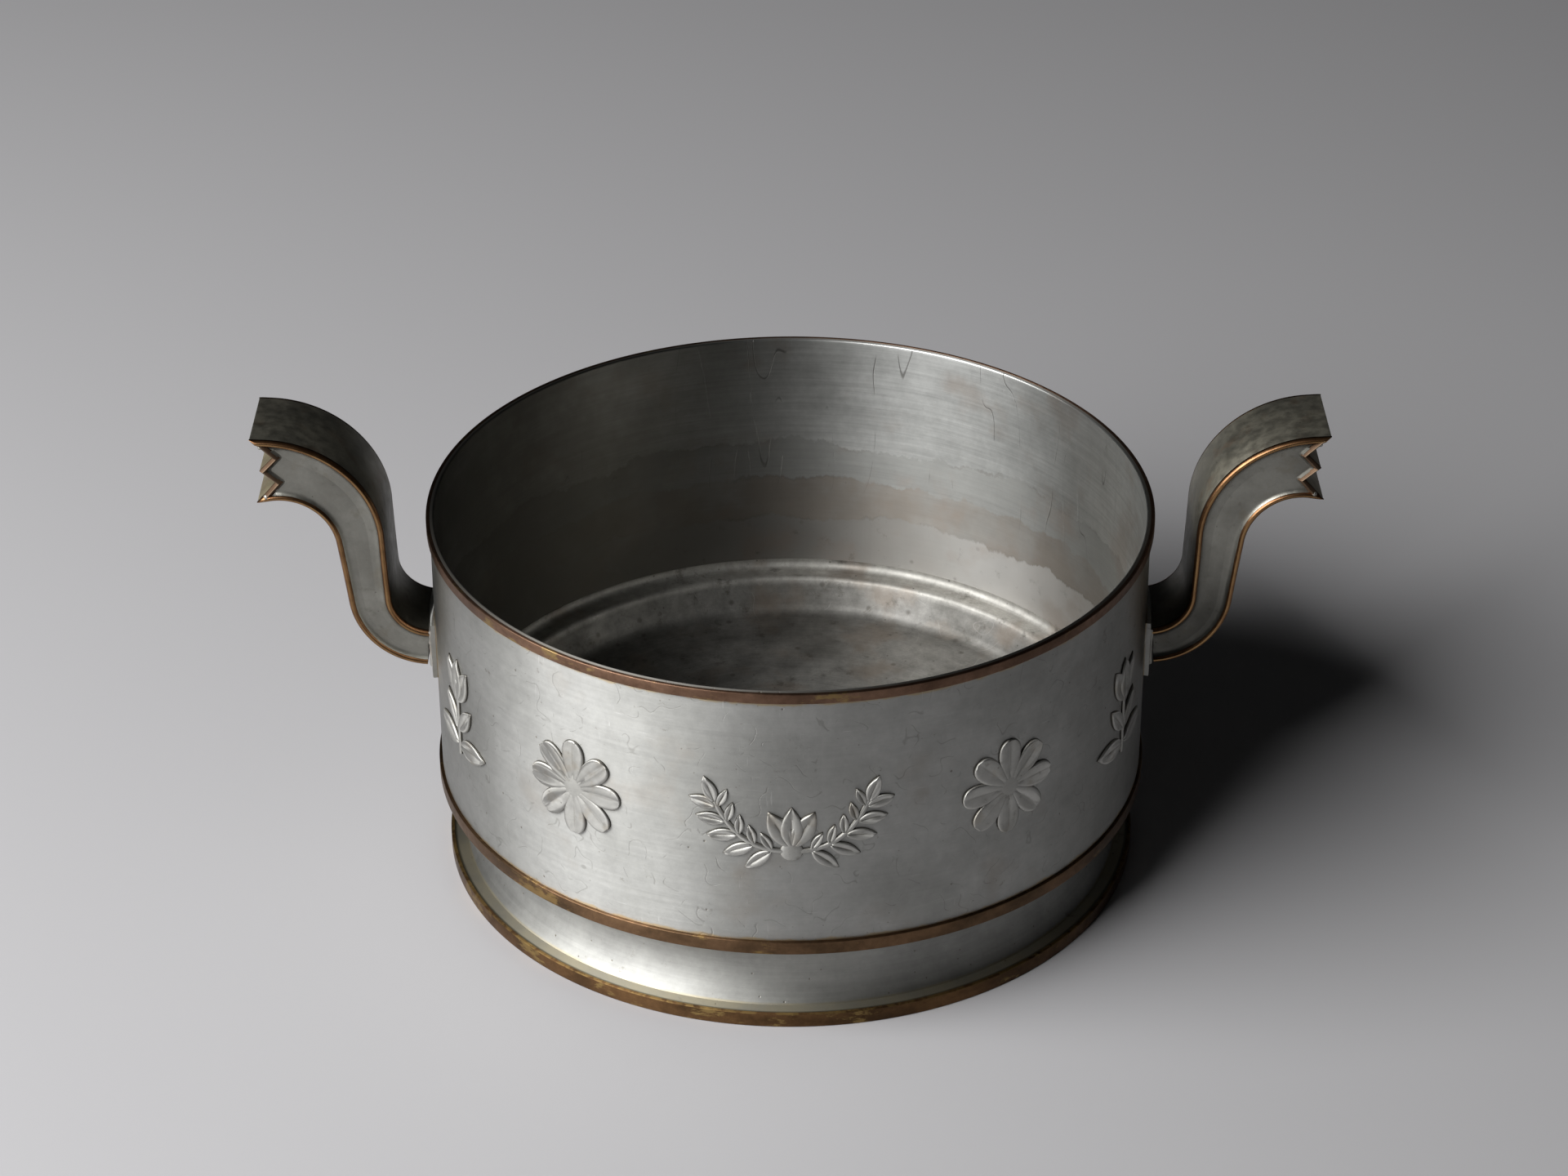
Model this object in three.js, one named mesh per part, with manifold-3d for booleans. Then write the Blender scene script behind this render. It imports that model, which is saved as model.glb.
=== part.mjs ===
// A two-handled pewter tureen with brass edging, in millimetres, +Z up.
// The origin is the middle of the foot, on the surface that the tureen stands on.
// The handles lie along X. They are fixed, so nothing on the tureen moves.
import * as THREE from 'three';
import { mergeVertices } from 'three/addons/utils/BufferGeometryUtils.js';
import Module from 'manifold-3d';

const wasm = await Module();
wasm.setup();

// Driving sizes of the turned pieces
const wallRadius = 158.5;
const wallThickness = 2.1;
const rimHeight = 170;
const bandThickness = 1.2;
const rimBandHeight = 4.7;
const beltBandHeight = 6.2;
const collarHeight = 40.6;
const collarThickness = 2.8;
const collarStep = 4.1;
const collarSeatWidth = 8.5;
const neckHeight = 24.8;
const footInset = 3.5;
const footHeight = 6.2;
const footLip = 0.4;
const ledgeWidth = 5.7;
const flareDepth = 6.4;
const footThickness = 1.8;

// Driving sizes of the pan that closes the bottom
const panThickness = 1.8;
const wellDepth = 15.7;
const wellSlope = 25;
const wellClearance = 1.3;
const shelfFillet = 3;
const wellFillet = 7;

// Driving sizes of the handles
const handleWidth = 40;
const handleTipWidth = 43;
const handleHeight = 106.1;
const lowerBendRadius = 27;
const lowerBendSweep = 85.4;
const stemLength = 30.7;
const upperBendRadius = 38;
const upperBendSweep = 87.9;
const tipLength = 4.8;
const rootThickness = 17.5;
const tipThickness = 31.1;
const edgingWidth = 3;
const edgingDepth = 2.2;
const zigzagEdgingWidth = 3.6;
const notchDepth = 9;
const middlePointSetback = 2.8;
const notchSpacing = 12;
const plateWidth = 48;
const plateHeight = 27;
const plateThickness = 2;
const plateLift = 1;

// Driving sizes of the applied ornaments
const ornamentThickness = 1.2;
const ornamentHeight = 48;
const sprayWidth = 86;
const sprigWidth = 50;
const rosetteDiameter = 46;
const rosettePetals = 8;
const sprayLeaves = 5;
const ornamentStemWidth = 2.4;
const rosetteAngle = 35;
const sprigAngle = 65;

// Pieces that lie face to face on a curve keep this gap for the solder between them.
const solderGap = 0.3;
// Every turned piece has the same flats, so that neighbours stay parallel.
const turnSegments = 72;
const bendSegments = 8;
const leafSegments = 4;

// Sizes that follow from those above
const wallInnerRadius = wallRadius - wallThickness;
const bandInnerRadius = wallRadius + solderGap;
const bandOuterRadius = bandInnerRadius + bandThickness;
const beltTop = collarHeight + beltBandHeight;
const rimBandBottom = rimHeight - rimBandHeight;
const seatHeight = collarHeight + collarThickness;
const shelfHeight = seatHeight + panThickness;
const footRadius = wallRadius - footInset;
const footBandInnerRadius = footRadius + solderGap;
const footBandOuterRadius = footBandInnerRadius + bandThickness;
const ledgeInnerRadius = footRadius - ledgeWidth;
const neckRadius = ledgeInnerRadius - flareDepth;
const collarRadius = wallRadius - collarStep;

const radians = THREE.MathUtils.degToRad;

const pewter = { color: 0x9a9a96, roughness: 0.42, metalness: 0.9 };
const darkPewter = { color: 0x5c5a54, roughness: 0.45, metalness: 0.9 };
const brass = { color: 0x9c6b3a, roughness: 0.4, metalness: 0.95 };

function mesh(name, geometry, finish) {
  const piece = new THREE.Mesh(geometry, new THREE.MeshStandardMaterial(finish));
  piece.name = name;
  return piece;
}

// Keeps only the positions of a geometry and joins the vertices that meet.
function closed(geometry) {
  geometry.deleteAttribute('normal');
  geometry.deleteAttribute('uv');
  return mergeVertices(geometry);
}

function toSolid(geometry) {
  const whole = closed(geometry);
  return new wasm.Manifold(new wasm.Mesh({
    numProp: 3,
    vertProperties: new Float32Array(whole.attributes.position.array),
    triVerts: new Uint32Array(whole.index.array),
  }));
}

function toGeometry(solid) {
  const result = solid.getMesh();
  const geometry = new THREE.BufferGeometry();
  geometry.setAttribute('position', new THREE.BufferAttribute(new Float32Array(result.vertProperties), 3));
  geometry.setIndex(new THREE.BufferAttribute(new Uint32Array(result.triVerts), 1));
  return geometry;
}

// Turns a profile of [radius, height] corners round the Z axis, listed counter-clockwise.
function turned(corners) {
  const outline = [...corners, corners[0]].map(([r, z]) => new THREE.Vector2(r, z));
  const geometry = new THREE.LatheGeometry(outline, turnSegments);
  // The flats start on the X axis, so that every quarter of the ring is alike.
  geometry.rotateX(Math.PI / 2);
  return closed(geometry);
}

// A plain ring between two radii and two heights
function ring(innerRadius, outerRadius, bottom, top) {
  return turned([[innerRadius, bottom], [outerRadius, bottom], [outerRadius, top], [innerRadius, top]]);
}

// Points on an arc from one angle to another, both ends included
function arc(centreR, centreZ, radius, from, to, steps) {
  const points = [];
  for (let i = 0; i <= steps; i += 1) {
    const angle = from + ((to - from) * i) / steps;
    points.push([centreR + radius * Math.cos(angle), centreZ + radius * Math.sin(angle)]);
  }
  return points;
}

// The foot: a spun ring with a hollow neck between the ledge and the collar
function footRing() {
  const flareHeight = neckHeight - footHeight;
  const coveHeight = collarHeight - neckHeight;
  const coveDepth = collarRadius - neckRadius;
  const flareRadius = (flareDepth ** 2 + flareHeight ** 2) / (2 * flareDepth);
  const coveRadius = (coveDepth ** 2 + coveHeight ** 2) / (2 * coveDepth);
  const flareSweep = Math.asin(flareHeight / flareRadius);
  const coveSweep = Math.acos((coveRadius - coveDepth) / coveRadius);
  const flareCentre = neckRadius + flareRadius;
  const coveCentre = neckRadius + coveRadius;
  const innerFlareRadius = flareRadius + footThickness;
  const innerCoveRadius = coveRadius + footThickness;
  const innerFlareSweep = Math.asin(flareHeight / innerFlareRadius);
  const seatInnerRadius = wallRadius - collarSeatWidth;
  const innerCoveSweep = Math.acos((coveCentre - seatInnerRadius) / innerCoveRadius);
  const outside = [
    ...arc(flareCentre, neckHeight, flareRadius, Math.PI + flareSweep, Math.PI, 4),
    ...arc(coveCentre, neckHeight, coveRadius, Math.PI, Math.PI - coveSweep, 5).slice(1),
  ];
  const inside = [
    ...arc(coveCentre, neckHeight, innerCoveRadius, Math.PI - innerCoveSweep, Math.PI, 4),
    ...arc(flareCentre, neckHeight, innerFlareRadius, Math.PI, Math.PI + innerFlareSweep, 3).slice(1),
  ];
  const baseInnerRadius = inside[inside.length - 1][0];
  return turned([
    [baseInnerRadius, 0],
    [footRadius, 0],
    [footRadius, footHeight],
    ...outside,
    [wallRadius, collarHeight],
    [wallRadius, seatHeight],
    [seatInnerRadius, seatHeight],
    ...inside,
  ]);
}

// The corner between two straight runs of a profile, rounded to a fillet
function fillet(before, corner, after, radius, steps) {
  const start = new THREE.Vector2(...before);
  const middle = new THREE.Vector2(...corner);
  const end = new THREE.Vector2(...after);
  const toStart = start.clone().sub(middle).normalize();
  const toEnd = end.clone().sub(middle).normalize();
  const half = Math.acos(THREE.MathUtils.clamp(toStart.dot(toEnd), -1, 1)) / 2;
  const reach = radius / Math.tan(half);
  const first = middle.clone().addScaledVector(toStart, reach);
  const last = middle.clone().addScaledVector(toEnd, reach);
  const curve = new THREE.QuadraticBezierCurve(first, middle, last);
  return curve.getPoints(steps).map((point) => [point.x, point.y]);
}

// The pan: a shelf inside the wall, then a well with sloping sides down to the floor
function pan() {
  const slope = radians(wellSlope);
  const floorHeight = shelfHeight - wellDepth;
  const outerCorner = neckRadius - footThickness - wellClearance;
  const slant = panThickness / Math.cos(slope);
  const top = (z) => [outerCorner - slant + (z - floorHeight + panThickness) * Math.tan(slope), z];
  const under = (z) => [outerCorner + (z - floorHeight + panThickness) * Math.tan(slope), z];
  const panRadius = wallInnerRadius - solderGap;
  const bottom = floorHeight - panThickness;
  return turned([
    [0, bottom],
    ...fillet([0, bottom], under(bottom), under(seatHeight), wellFillet + panThickness, 4),
    under(seatHeight),
    [panRadius, seatHeight],
    [panRadius, shelfHeight],
    ...fillet([panRadius, shelfHeight], top(shelfHeight), top(floorHeight), shelfFillet, 3),
    ...fillet(top(shelfHeight), top(floorHeight), [0, floorHeight], wellFillet, 4),
    [0, floorHeight],
  ]);
}

// Stations along the handle's centre line, seen from the front as [x, z], with the heading
// and half the thickness at each one. It leaves the wall level, bends up, rises and bends out again.
function handleStations() {
  const lowerSweep = radians(lowerBendSweep);
  const upperSweep = radians(upperBendSweep);
  const runs = [
    { length: lowerBendRadius * lowerSweep, turn: lowerSweep, steps: bendSegments },
    { length: stemLength, turn: 0, steps: 2 },
    { length: upperBendRadius * upperSweep, turn: -upperSweep, steps: bendSegments + 2 },
    { length: tipLength, turn: 0, steps: 1 },
  ];
  const total = runs.reduce((sum, run) => sum + run.length, 0);
  const stations = [];
  const at = new THREE.Vector2(wallRadius, handleHeight);
  let heading = 0;
  let travelled = 0;
  const record = () => {
    const share = travelled / total;
    const half = (rootThickness + (tipThickness - rootThickness) * share ** 2) / 2;
    stations.push({ at: at.clone(), heading, half });
  };
  record();
  for (const run of runs) {
    for (let i = 0; i < run.steps; i += 1) {
      const angle = run.turn / run.steps;
      const length = run.length / run.steps;
      const chord = angle === 0 ? length : (2 * length * Math.sin(angle / 2)) / angle;
      at.x += chord * Math.cos(heading + angle / 2);
      at.y += chord * Math.sin(heading + angle / 2);
      heading += angle;
      travelled += length;
      record();
    }
  }
  return stations;
}

const stations = handleStations();
const tip = stations[stations.length - 1];
const tipOut = new THREE.Vector2(Math.cos(tip.heading), Math.sin(tip.heading));

// The upper (side 1) or lower (side -1) line of the handle, drawn in by an inset
function handleLine(side, inset) {
  return stations.map(({ at, heading, half }) => new THREE.Vector2(
    at.x - side * (half - inset) * Math.sin(heading),
    at.y + side * (half - inset) * Math.cos(heading),
  ));
}

// The points between the two tips, where the handle ends in three teeth
function zigzag() {
  const up = new THREE.Vector2(-tipOut.y, tipOut.x);
  const place = (back, rise) => tip.at.clone().addScaledVector(tipOut, -back).addScaledVector(up, rise);
  return [
    place(notchDepth, notchSpacing / 2),
    place(middlePointSetback, 0),
    place(notchDepth, -notchSpacing / 2),
  ];
}

const handleOutline = [...handleLine(1, 0), ...zigzag(), ...handleLine(-1, 0).reverse()];

// Stands an outline of [x, z] points up and makes it solid from one Y to another.
function upright(points, fromY, toY) {
  const geometry = new THREE.ExtrudeGeometry(new THREE.Shape(points), {
    depth: toY - fromY,
    bevelEnabled: false,
  });
  geometry.rotateX(Math.PI / 2);
  geometry.translate(0, toY, 0);
  return toSolid(geometry);
}

// Widens a part of the handle evenly from the wall out to the tip. Flat sides stay flat.
function widened(solid) {
  const growth = (handleTipWidth / handleWidth - 1) / (tip.at.x - wallRadius);
  return solid.warp((point) => {
    point[1] *= 1 + growth * (point[0] - wallRadius);
  });
}

const plateRadius = wallRadius + solderGap + plateThickness;
const plateClearance = toSolid(turned([
  [0, 0], [plateRadius + solderGap, 0], [plateRadius + solderGap, rimHeight], [0, rimHeight],
]));

function handlePlate() {
  const bottom = handleHeight + plateLift - plateHeight / 2;
  const shell = toSolid(ring(bandInnerRadius, plateRadius, bottom, bottom + plateHeight));
  const window = new THREE.BoxGeometry(wallRadius, plateWidth, rimHeight);
  window.translate(wallRadius, 0, rimHeight / 2);
  return toGeometry(shell.intersect(toSolid(window)));
}

const bodyHalfWidth = handleWidth / 2 - edgingDepth;

function handleBody() {
  const whole = upright(handleOutline, -bodyHalfWidth, bodyHalfWidth);
  return toGeometry(widened(whole.subtract(plateClearance)));
}

// The Y range of the edging on one side of a handle: -1 is the side at low Y
function edgingRange(side) {
  return [side * bodyHalfWidth, side * (handleWidth / 2)].sort((a, b) => a - b);
}

// A strip along the upper (line 1) or lower (line -1) edge of one side of the handle
function longEdging(line, side) {
  const range = edgingRange(side);
  const band = [...handleLine(line, 0), ...handleLine(line, edgingWidth).reverse()];
  const strip = upright(line > 0 ? band : band.reverse(), ...range);
  const trimmed = strip.intersect(upright(handleOutline, ...range)).subtract(plateClearance);
  return toGeometry(widened(trimmed));
}

// The strip that follows the teeth, between the two long strips
function zigzagEdging(side) {
  const range = edgingRange(side);
  const inset = edgingWidth + solderGap;
  const between = [...handleLine(1, inset), ...handleLine(-1, inset).reverse()];
  const front = [handleLine(1, 0).at(-1), ...zigzag(), handleLine(-1, 0).at(-1)];
  const back = front.map((point) => point.clone().addScaledVector(tipOut, -zigzagEdgingWidth));
  const band = upright([...front, ...back.reverse()], ...range);
  return toGeometry(widened(band.intersect(upright(between, ...range))));
}

// One handle with its plate and edging, pointing along +X before it is turned
function handle(name, turn, front) {
  const group = new THREE.Group();
  group.rotation.z = turn;
  group.add(mesh(`${name}_handle_plate`, handlePlate(), pewter));
  group.add(mesh(`${name}_handle_body`, handleBody(), darkPewter));
  for (const [sideName, side] of [['front', front], ['back', -front]]) {
    group.add(mesh(`${name}_handle_${sideName}_upper_edging`, longEdging(1, side), brass));
    group.add(mesh(`${name}_handle_${sideName}_lower_edging`, longEdging(-1, side), brass));
    group.add(mesh(`${name}_handle_${sideName}_zigzag_edging`, zigzagEdging(side), brass));
  }
  return group;
}

// A pointed leaf that starts at [x, y] and grows along an angle
function leaf(x, y, angle, length, width) {
  const shape = new THREE.Shape();
  shape.moveTo(0, 0);
  shape.quadraticCurveTo(length * 0.45, -width, length, 0);
  shape.quadraticCurveTo(length * 0.45, width, 0, 0);
  return { shape, x, y, angle };
}

// A petal with a round end, growing along an angle from the middle of its flower
function petal(angle, length, width) {
  const side = (2 * width) / 3;
  const shape = new THREE.Shape();
  shape.moveTo(0, 0);
  shape.bezierCurveTo(0.5 * length, -side, length, -side, length, 0);
  shape.bezierCurveTo(length, side, 0.5 * length, side, 0, 0);
  return { shape, x: 0, y: 0, angle };
}

function disc(x, y, radius) {
  const shape = new THREE.Shape();
  shape.absarc(0, 0, radius, 0, 2 * Math.PI, false);
  return { shape, x, y, angle: 0 };
}

// A stem of even width along a curve, as one outline
function stem(curve, width) {
  const steps = 2 * leafSegments;
  const left = [];
  const right = [];
  for (let i = 0; i <= steps; i += 1) {
    const point = curve.getPoint(i / steps);
    const along = curve.getTangent(i / steps);
    const across = new THREE.Vector2(-along.y, along.x).multiplyScalar(width / 2);
    left.push(point.clone().add(across));
    right.push(point.clone().sub(across));
  }
  return { shape: new THREE.Shape([...right, ...left.reverse()]), x: 0, y: 0, angle: 0 };
}

// A bud of three leaves that open upwards from one point
function bud(y, length) {
  return [-0.5, 0, 0.5].map((turn) => leaf(0, y, Math.PI / 2 + turn, length, 0.47 * length));
}

// Two laurel branches that meet at a boss with a bud and curve up to both sides
function sprayMotif() {
  const half = sprayWidth / 2;
  const rise = ornamentHeight / 2;
  const parts = [disc(0, -0.55 * rise, 0.2 * rise), ...bud(-0.5 * rise, 0.85 * rise)];
  for (const side of [-1, 1]) {
    const branch = new THREE.QuadraticBezierCurve(
      new THREE.Vector2(0, -0.55 * rise),
      new THREE.Vector2(side * 0.52 * half, -0.6 * rise),
      new THREE.Vector2(side * 0.74 * half, 0.42 * rise),
    );
    parts.push(stem(branch, ornamentStemWidth));
    // The leaves take their size from the room between them, so that no leaf touches the next.
    const spacing = branch.getLength() / (sprayLeaves + 0.4);
    for (let i = 1; i <= sprayLeaves; i += 1) {
      const share = (i * spacing) / branch.getLength();
      const foot = branch.getPointAt(share);
      const along = branch.getTangentAt(share).angle();
      parts.push(leaf(foot.x, foot.y, along - side * 0.85, (2 - 0.45 * share) * spacing, 0.78 * spacing));
      // The leaves inside the bend are smaller, because they have less room there.
      parts.push(leaf(foot.x, foot.y, along + side * 0.85, 1.25 * spacing, 0.52 * spacing));
    }
    const end = branch.getPointAt(0.97);
    parts.push(leaf(end.x, end.y, branch.getTangentAt(1).angle(), 1.7 * spacing, 0.78 * spacing));
  }
  return parts;
}

// An upright stem with a bud and two pairs of leaves
function sprigMotif() {
  const half = sprigWidth / 2;
  const rise = ornamentHeight / 2;
  const parts = [];
  const middle = new THREE.LineCurve(new THREE.Vector2(0, -rise), new THREE.Vector2(0, 0.4 * rise));
  parts.push(stem(middle, ornamentStemWidth), ...bud(0.1 * rise, 0.9 * rise));
  for (const side of [-1, 1]) {
    const outward = side > 0 ? 0 : Math.PI;
    parts.push(leaf(0, -0.8 * rise, outward + side * 0.15, half, 0.42 * rise));
    parts.push(leaf(0, -0.5 * rise, outward + side * 0.85, 0.8 * half, 0.34 * rise));
  }
  return parts;
}

// A flower of even petals round a boss
function rosetteMotif() {
  const radius = rosetteDiameter / 2;
  const parts = [disc(0, 0, 0.3 * radius)];
  for (let i = 0; i < rosettePetals; i += 1) {
    const angle = (2 * Math.PI * i) / rosettePetals + Math.PI / 2;
    parts.push(petal(angle, radius, (1.25 * Math.PI * radius) / rosettePetals));
  }
  return parts;
}

const ornamentMiddle = (beltTop + rimBandBottom) / 2;
const ornamentShell = toSolid(ring(
  bandInnerRadius,
  bandInnerRadius + ornamentThickness,
  beltTop + solderGap,
  rimBandBottom - solderGap,
));

// Joins the parts of a motif and bends them to the wall, facing along +X.
function ornament(parts) {
  const facing = new THREE.Matrix4().makeBasis(
    new THREE.Vector3(0, 1, 0),
    new THREE.Vector3(0, 0, 1),
    new THREE.Vector3(1, 0, 0),
  );
  // The flat blank is deep enough for the wall to curve away under the widest motif.
  const blankBottom = Math.sqrt(wallRadius ** 2 - (sprayWidth / 2) ** 2) - ornamentThickness;
  const blankTop = bandInnerRadius + 2 * ornamentThickness;
  let whole = null;
  for (const { shape, x, y, angle } of parts) {
    const geometry = new THREE.ExtrudeGeometry(shape, {
      depth: blankTop - blankBottom,
      curveSegments: leafSegments,
      bevelEnabled: false,
    });
    geometry.rotateZ(angle);
    geometry.translate(x, y, 0);
    geometry.applyMatrix4(facing);
    geometry.translate(blankBottom, 0, ornamentMiddle);
    const solid = toSolid(geometry);
    whole = whole === null ? solid : whole.add(solid);
  }
  return toGeometry(whole.intersect(ornamentShell));
}

// Ornaments on one half of the wall: a spray in the middle, then a rosette and a sprig
// on each side. The other half is the same, turned round.
function ornaments(halfName, middleAngle) {
  const group = new THREE.Group();
  const places = [
    ['spray', sprayMotif(), 0],
    ['left_rosette', rosetteMotif(), -rosetteAngle],
    ['right_rosette', rosetteMotif(), rosetteAngle],
    ['left_sprig', sprigMotif(), -sprigAngle],
    ['right_sprig', sprigMotif(), sprigAngle],
  ];
  for (const [name, motif, offset] of places) {
    const piece = mesh(`${halfName}_${name}`, ornament(motif), pewter);
    piece.rotation.z = radians(middleAngle + offset);
    group.add(piece);
  }
  return group;
}

const tureen = new THREE.Group();
const turnedPieces = [
  ['vessel_wall', ring(wallInnerRadius, wallRadius, seatHeight, rimHeight), pewter],
  ['vessel_pan', pan(), pewter],
  ['foot_ring', footRing(), pewter],
  ['rim_band', ring(bandInnerRadius, bandOuterRadius, rimBandBottom, rimHeight), brass],
  ['belt_band', ring(bandInnerRadius, bandOuterRadius, collarHeight, beltTop), brass],
  ['foot_band', ring(footBandInnerRadius, footBandOuterRadius, 0, footHeight + footLip), brass],
];
for (const [name, geometry, finish] of turnedPieces) {
  tureen.add(mesh(name, geometry, finish));
}
tureen.add(ornaments('front', -90));
tureen.add(ornaments('back', 90));
tureen.add(handle('right', 0, -1));
tureen.add(handle('left', Math.PI, 1));

export default tureen;
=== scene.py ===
# %% [markdown]
# # A pewter tureen with brass edging
# This lesson dresses a CAD model of a round, two-handled tureen. The CAD frame says where every
# piece is and how large it is. Here each piece gets a finer mesh and a finish: satin pewter that
# was brushed round and round, brass bands gone brown, and castings darkened by age.
# We work in metres, as Blender does, and write sizes in millimetres times mm.

import math

import bmesh
import bpy
import numpy as np
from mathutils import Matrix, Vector


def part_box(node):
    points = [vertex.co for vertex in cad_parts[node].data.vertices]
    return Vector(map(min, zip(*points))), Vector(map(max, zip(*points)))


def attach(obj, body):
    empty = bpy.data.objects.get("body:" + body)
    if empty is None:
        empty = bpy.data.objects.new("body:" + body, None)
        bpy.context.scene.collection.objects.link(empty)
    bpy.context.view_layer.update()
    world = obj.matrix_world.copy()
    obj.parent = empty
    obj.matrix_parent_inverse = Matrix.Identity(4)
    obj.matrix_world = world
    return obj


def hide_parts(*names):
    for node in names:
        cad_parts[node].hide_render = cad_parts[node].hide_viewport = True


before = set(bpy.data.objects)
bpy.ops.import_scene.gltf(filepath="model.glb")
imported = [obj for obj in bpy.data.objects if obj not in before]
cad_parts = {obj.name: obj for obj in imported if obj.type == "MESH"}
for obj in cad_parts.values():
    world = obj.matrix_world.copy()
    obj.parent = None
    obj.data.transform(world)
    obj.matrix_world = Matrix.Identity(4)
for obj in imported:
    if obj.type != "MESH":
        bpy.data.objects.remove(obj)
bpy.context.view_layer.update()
mm = 0.001

# %% [markdown]
# ## Camera
# The camera comes first, so that every piece can be looked at as it is made. Its lens, height and
# distance were worked out from the ellipses that the rim, the belt and the foot make in the
# photograph. We aim it by turning its -Z axis towards a target, and then roll it by a hair, because
# the real camera wasn't quite level.

# %% Camera at the photograph's viewing angle
camera_lens = 86.4
camera_elevation = math.radians(30.67)
camera_distance = 1.6786
camera_roll = math.radians(-0.17)
camera_target = Vector((-2.9 * mm, 0, 125.3 * mm))

camera_data = bpy.data.cameras.new("camera")
camera_data.lens = camera_lens
camera = bpy.data.objects.new("camera", camera_data)
bpy.context.scene.collection.objects.link(camera)
camera_offset = Vector((0, -math.cos(camera_elevation), math.sin(camera_elevation))) * camera_distance
camera.location = camera_target + camera_offset
aim = (camera_target - camera.location).to_track_quat("-Z", "Y")
camera.rotation_euler = aim.to_euler()
camera.rotation_euler.rotate_axis("Z", camera_roll)
bpy.context.scene.camera = camera
print("camera at", [round(c, 3) for c in camera.location])

# %% [markdown]
# ## Studio
# Metal shows its surroundings more than its own colour, so the studio matters as much as the
# finishes. One large soft lamp stands at the front left, well above the rim, and the rest of the
# room is dim. That is what gives round metal its slow change from bright to dark. The floor is a
# plain pale grey, which lights the walls a little from below.

# %% Pale floor
floor_size = 12.0
floor_colour = (0.44, 0.435, 0.445, 1)
floor_roughness = 0.7
floor_gap = 0.1 * mm

half_floor = floor_size / 2
floor_mesh = bpy.data.meshes.new("floor")
floor_mesh.from_pydata(
    [(-half_floor, -half_floor, 0), (half_floor, -half_floor, 0),
     (half_floor, half_floor, 0), (-half_floor, half_floor, 0)],
    [],
    [(0, 1, 2, 3)],
)
floor = bpy.data.objects.new("floor", floor_mesh)
floor.location.z = -floor_gap
bpy.context.scene.collection.objects.link(floor)
floor_paint = bpy.data.materials.new("floor_paint")
floor_paint.use_nodes = True
floor_surface = floor_paint.node_tree.nodes["Principled BSDF"]
floor_surface.inputs["Base Color"].default_value = floor_colour
floor_surface.inputs["Roughness"].default_value = floor_roughness
floor_mesh.materials.append(floor_paint)
print("a floor of", floor_size, "m")

# %% Lamp and room
lamp_azimuth = math.radians(-60)
lamp_elevation = math.radians(36)
lamp_distance = 2.2
lamp_width = 2.1
lamp_depth = 1.2
lamp_power = 95
room_colour = (0.96, 0.98, 1.0, 1)
room_strength = 0.011

lamp_data = bpy.data.lights.new("soft_lamp", "AREA")
lamp_data.shape = "RECTANGLE"
lamp_data.size = lamp_width
lamp_data.size_y = lamp_depth
lamp_data.energy = lamp_power
lamp = bpy.data.objects.new("soft_lamp", lamp_data)
lamp_direction = Vector((
    math.sin(lamp_azimuth) * math.cos(lamp_elevation),
    -math.cos(lamp_azimuth) * math.cos(lamp_elevation),
    math.sin(lamp_elevation),
))
lamp.location = camera_target + lamp_direction * lamp_distance
lamp.rotation_euler = lamp_direction.to_track_quat("Z", "Y").to_euler()
bpy.context.scene.collection.objects.link(lamp)

room = bpy.data.worlds.new("room")
bpy.context.scene.world = room
room.use_nodes = True
background = room.node_tree.nodes["Background"]
background.inputs["Color"].default_value = room_colour
background.inputs["Strength"].default_value = room_strength
bpy.context.scene.view_settings.view_transform = "Standard"
print("lamp at", [round(c, 2) for c in lamp.location], "room strength", room_strength)

# %% [markdown]
# ## Sizes
# The frame gives the outer sizes of each node, so the walls, bands and plates are read from it.
# The sizes inside a profile can't be read from a box. They are named here once, in millimetres.

# %% Sizes from the frame
wall_low, wall_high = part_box("vessel_wall")
rim_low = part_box("rim_band")[0]
belt_low, belt_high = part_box("belt_band")
foot_band_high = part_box("foot_band")[1]
plate_low, plate_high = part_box("right_handle_plate")
wall_radius = wall_high.x
rim_height = wall_high.z
seat_height = wall_low.z
belt_bottom = belt_low.z
foot_band_radius = foot_band_high.x
plate_radius = plate_high.x
print("wall radius", round(wall_radius / mm, 2), "rim height", round(rim_height / mm, 2))

# %% Sizes inside the profiles
wall_thickness = 2.1 * mm
pan_thickness = 1.8 * mm
well_depth = 15.7 * mm
well_slope = math.radians(25)
well_clearance = 1.3 * mm
shelf_fillet = 3 * mm
well_fillet = 7 * mm
neck_height = 24.8 * mm
neck_thickness = 1.8 * mm
foot_radius = foot_band_radius - 1.5 * mm
ledge_height = 6.2 * mm
ledge_width = 5.7 * mm
flare_depth = 6.4 * mm
collar_step = 4.1 * mm
collar_seat_width = 8.5 * mm
bead_height = 2.2 * mm
handle_half_width = 20 * mm
handle_tip_half_width = 21.5 * mm
handle_reach = 73.7 * mm
body_half_width = handle_half_width - bead_height
handle_growth = (handle_tip_half_width / handle_half_width - 1) / handle_reach
wall_inner_radius = wall_radius - wall_thickness
neck_radius = foot_radius - ledge_width - flare_depth
shelf_height = seat_height + pan_thickness
floor_height = shelf_height - well_depth
print("the pan's floor is", round(floor_height / mm, 1), "mm above the table")

# %% [markdown]
# ## A way to build meshes
# Almost every piece here is a shape pulled along a path: a ring is a profile pulled round an axis,
# a bead is a half circle pulled along a handle, a leaf is an arch pulled along its midrib. So one
# helper, loft, joins a row of closed sections with quads. Spin or Screw could make the rings, but
# one helper for all keeps the lesson short, and numpy makes the points fast.

# %% Loft helper
sharp_angle = math.radians(38)
merge_distance = 0.002 * mm
shortest_edge = 0.001 * mm


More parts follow.
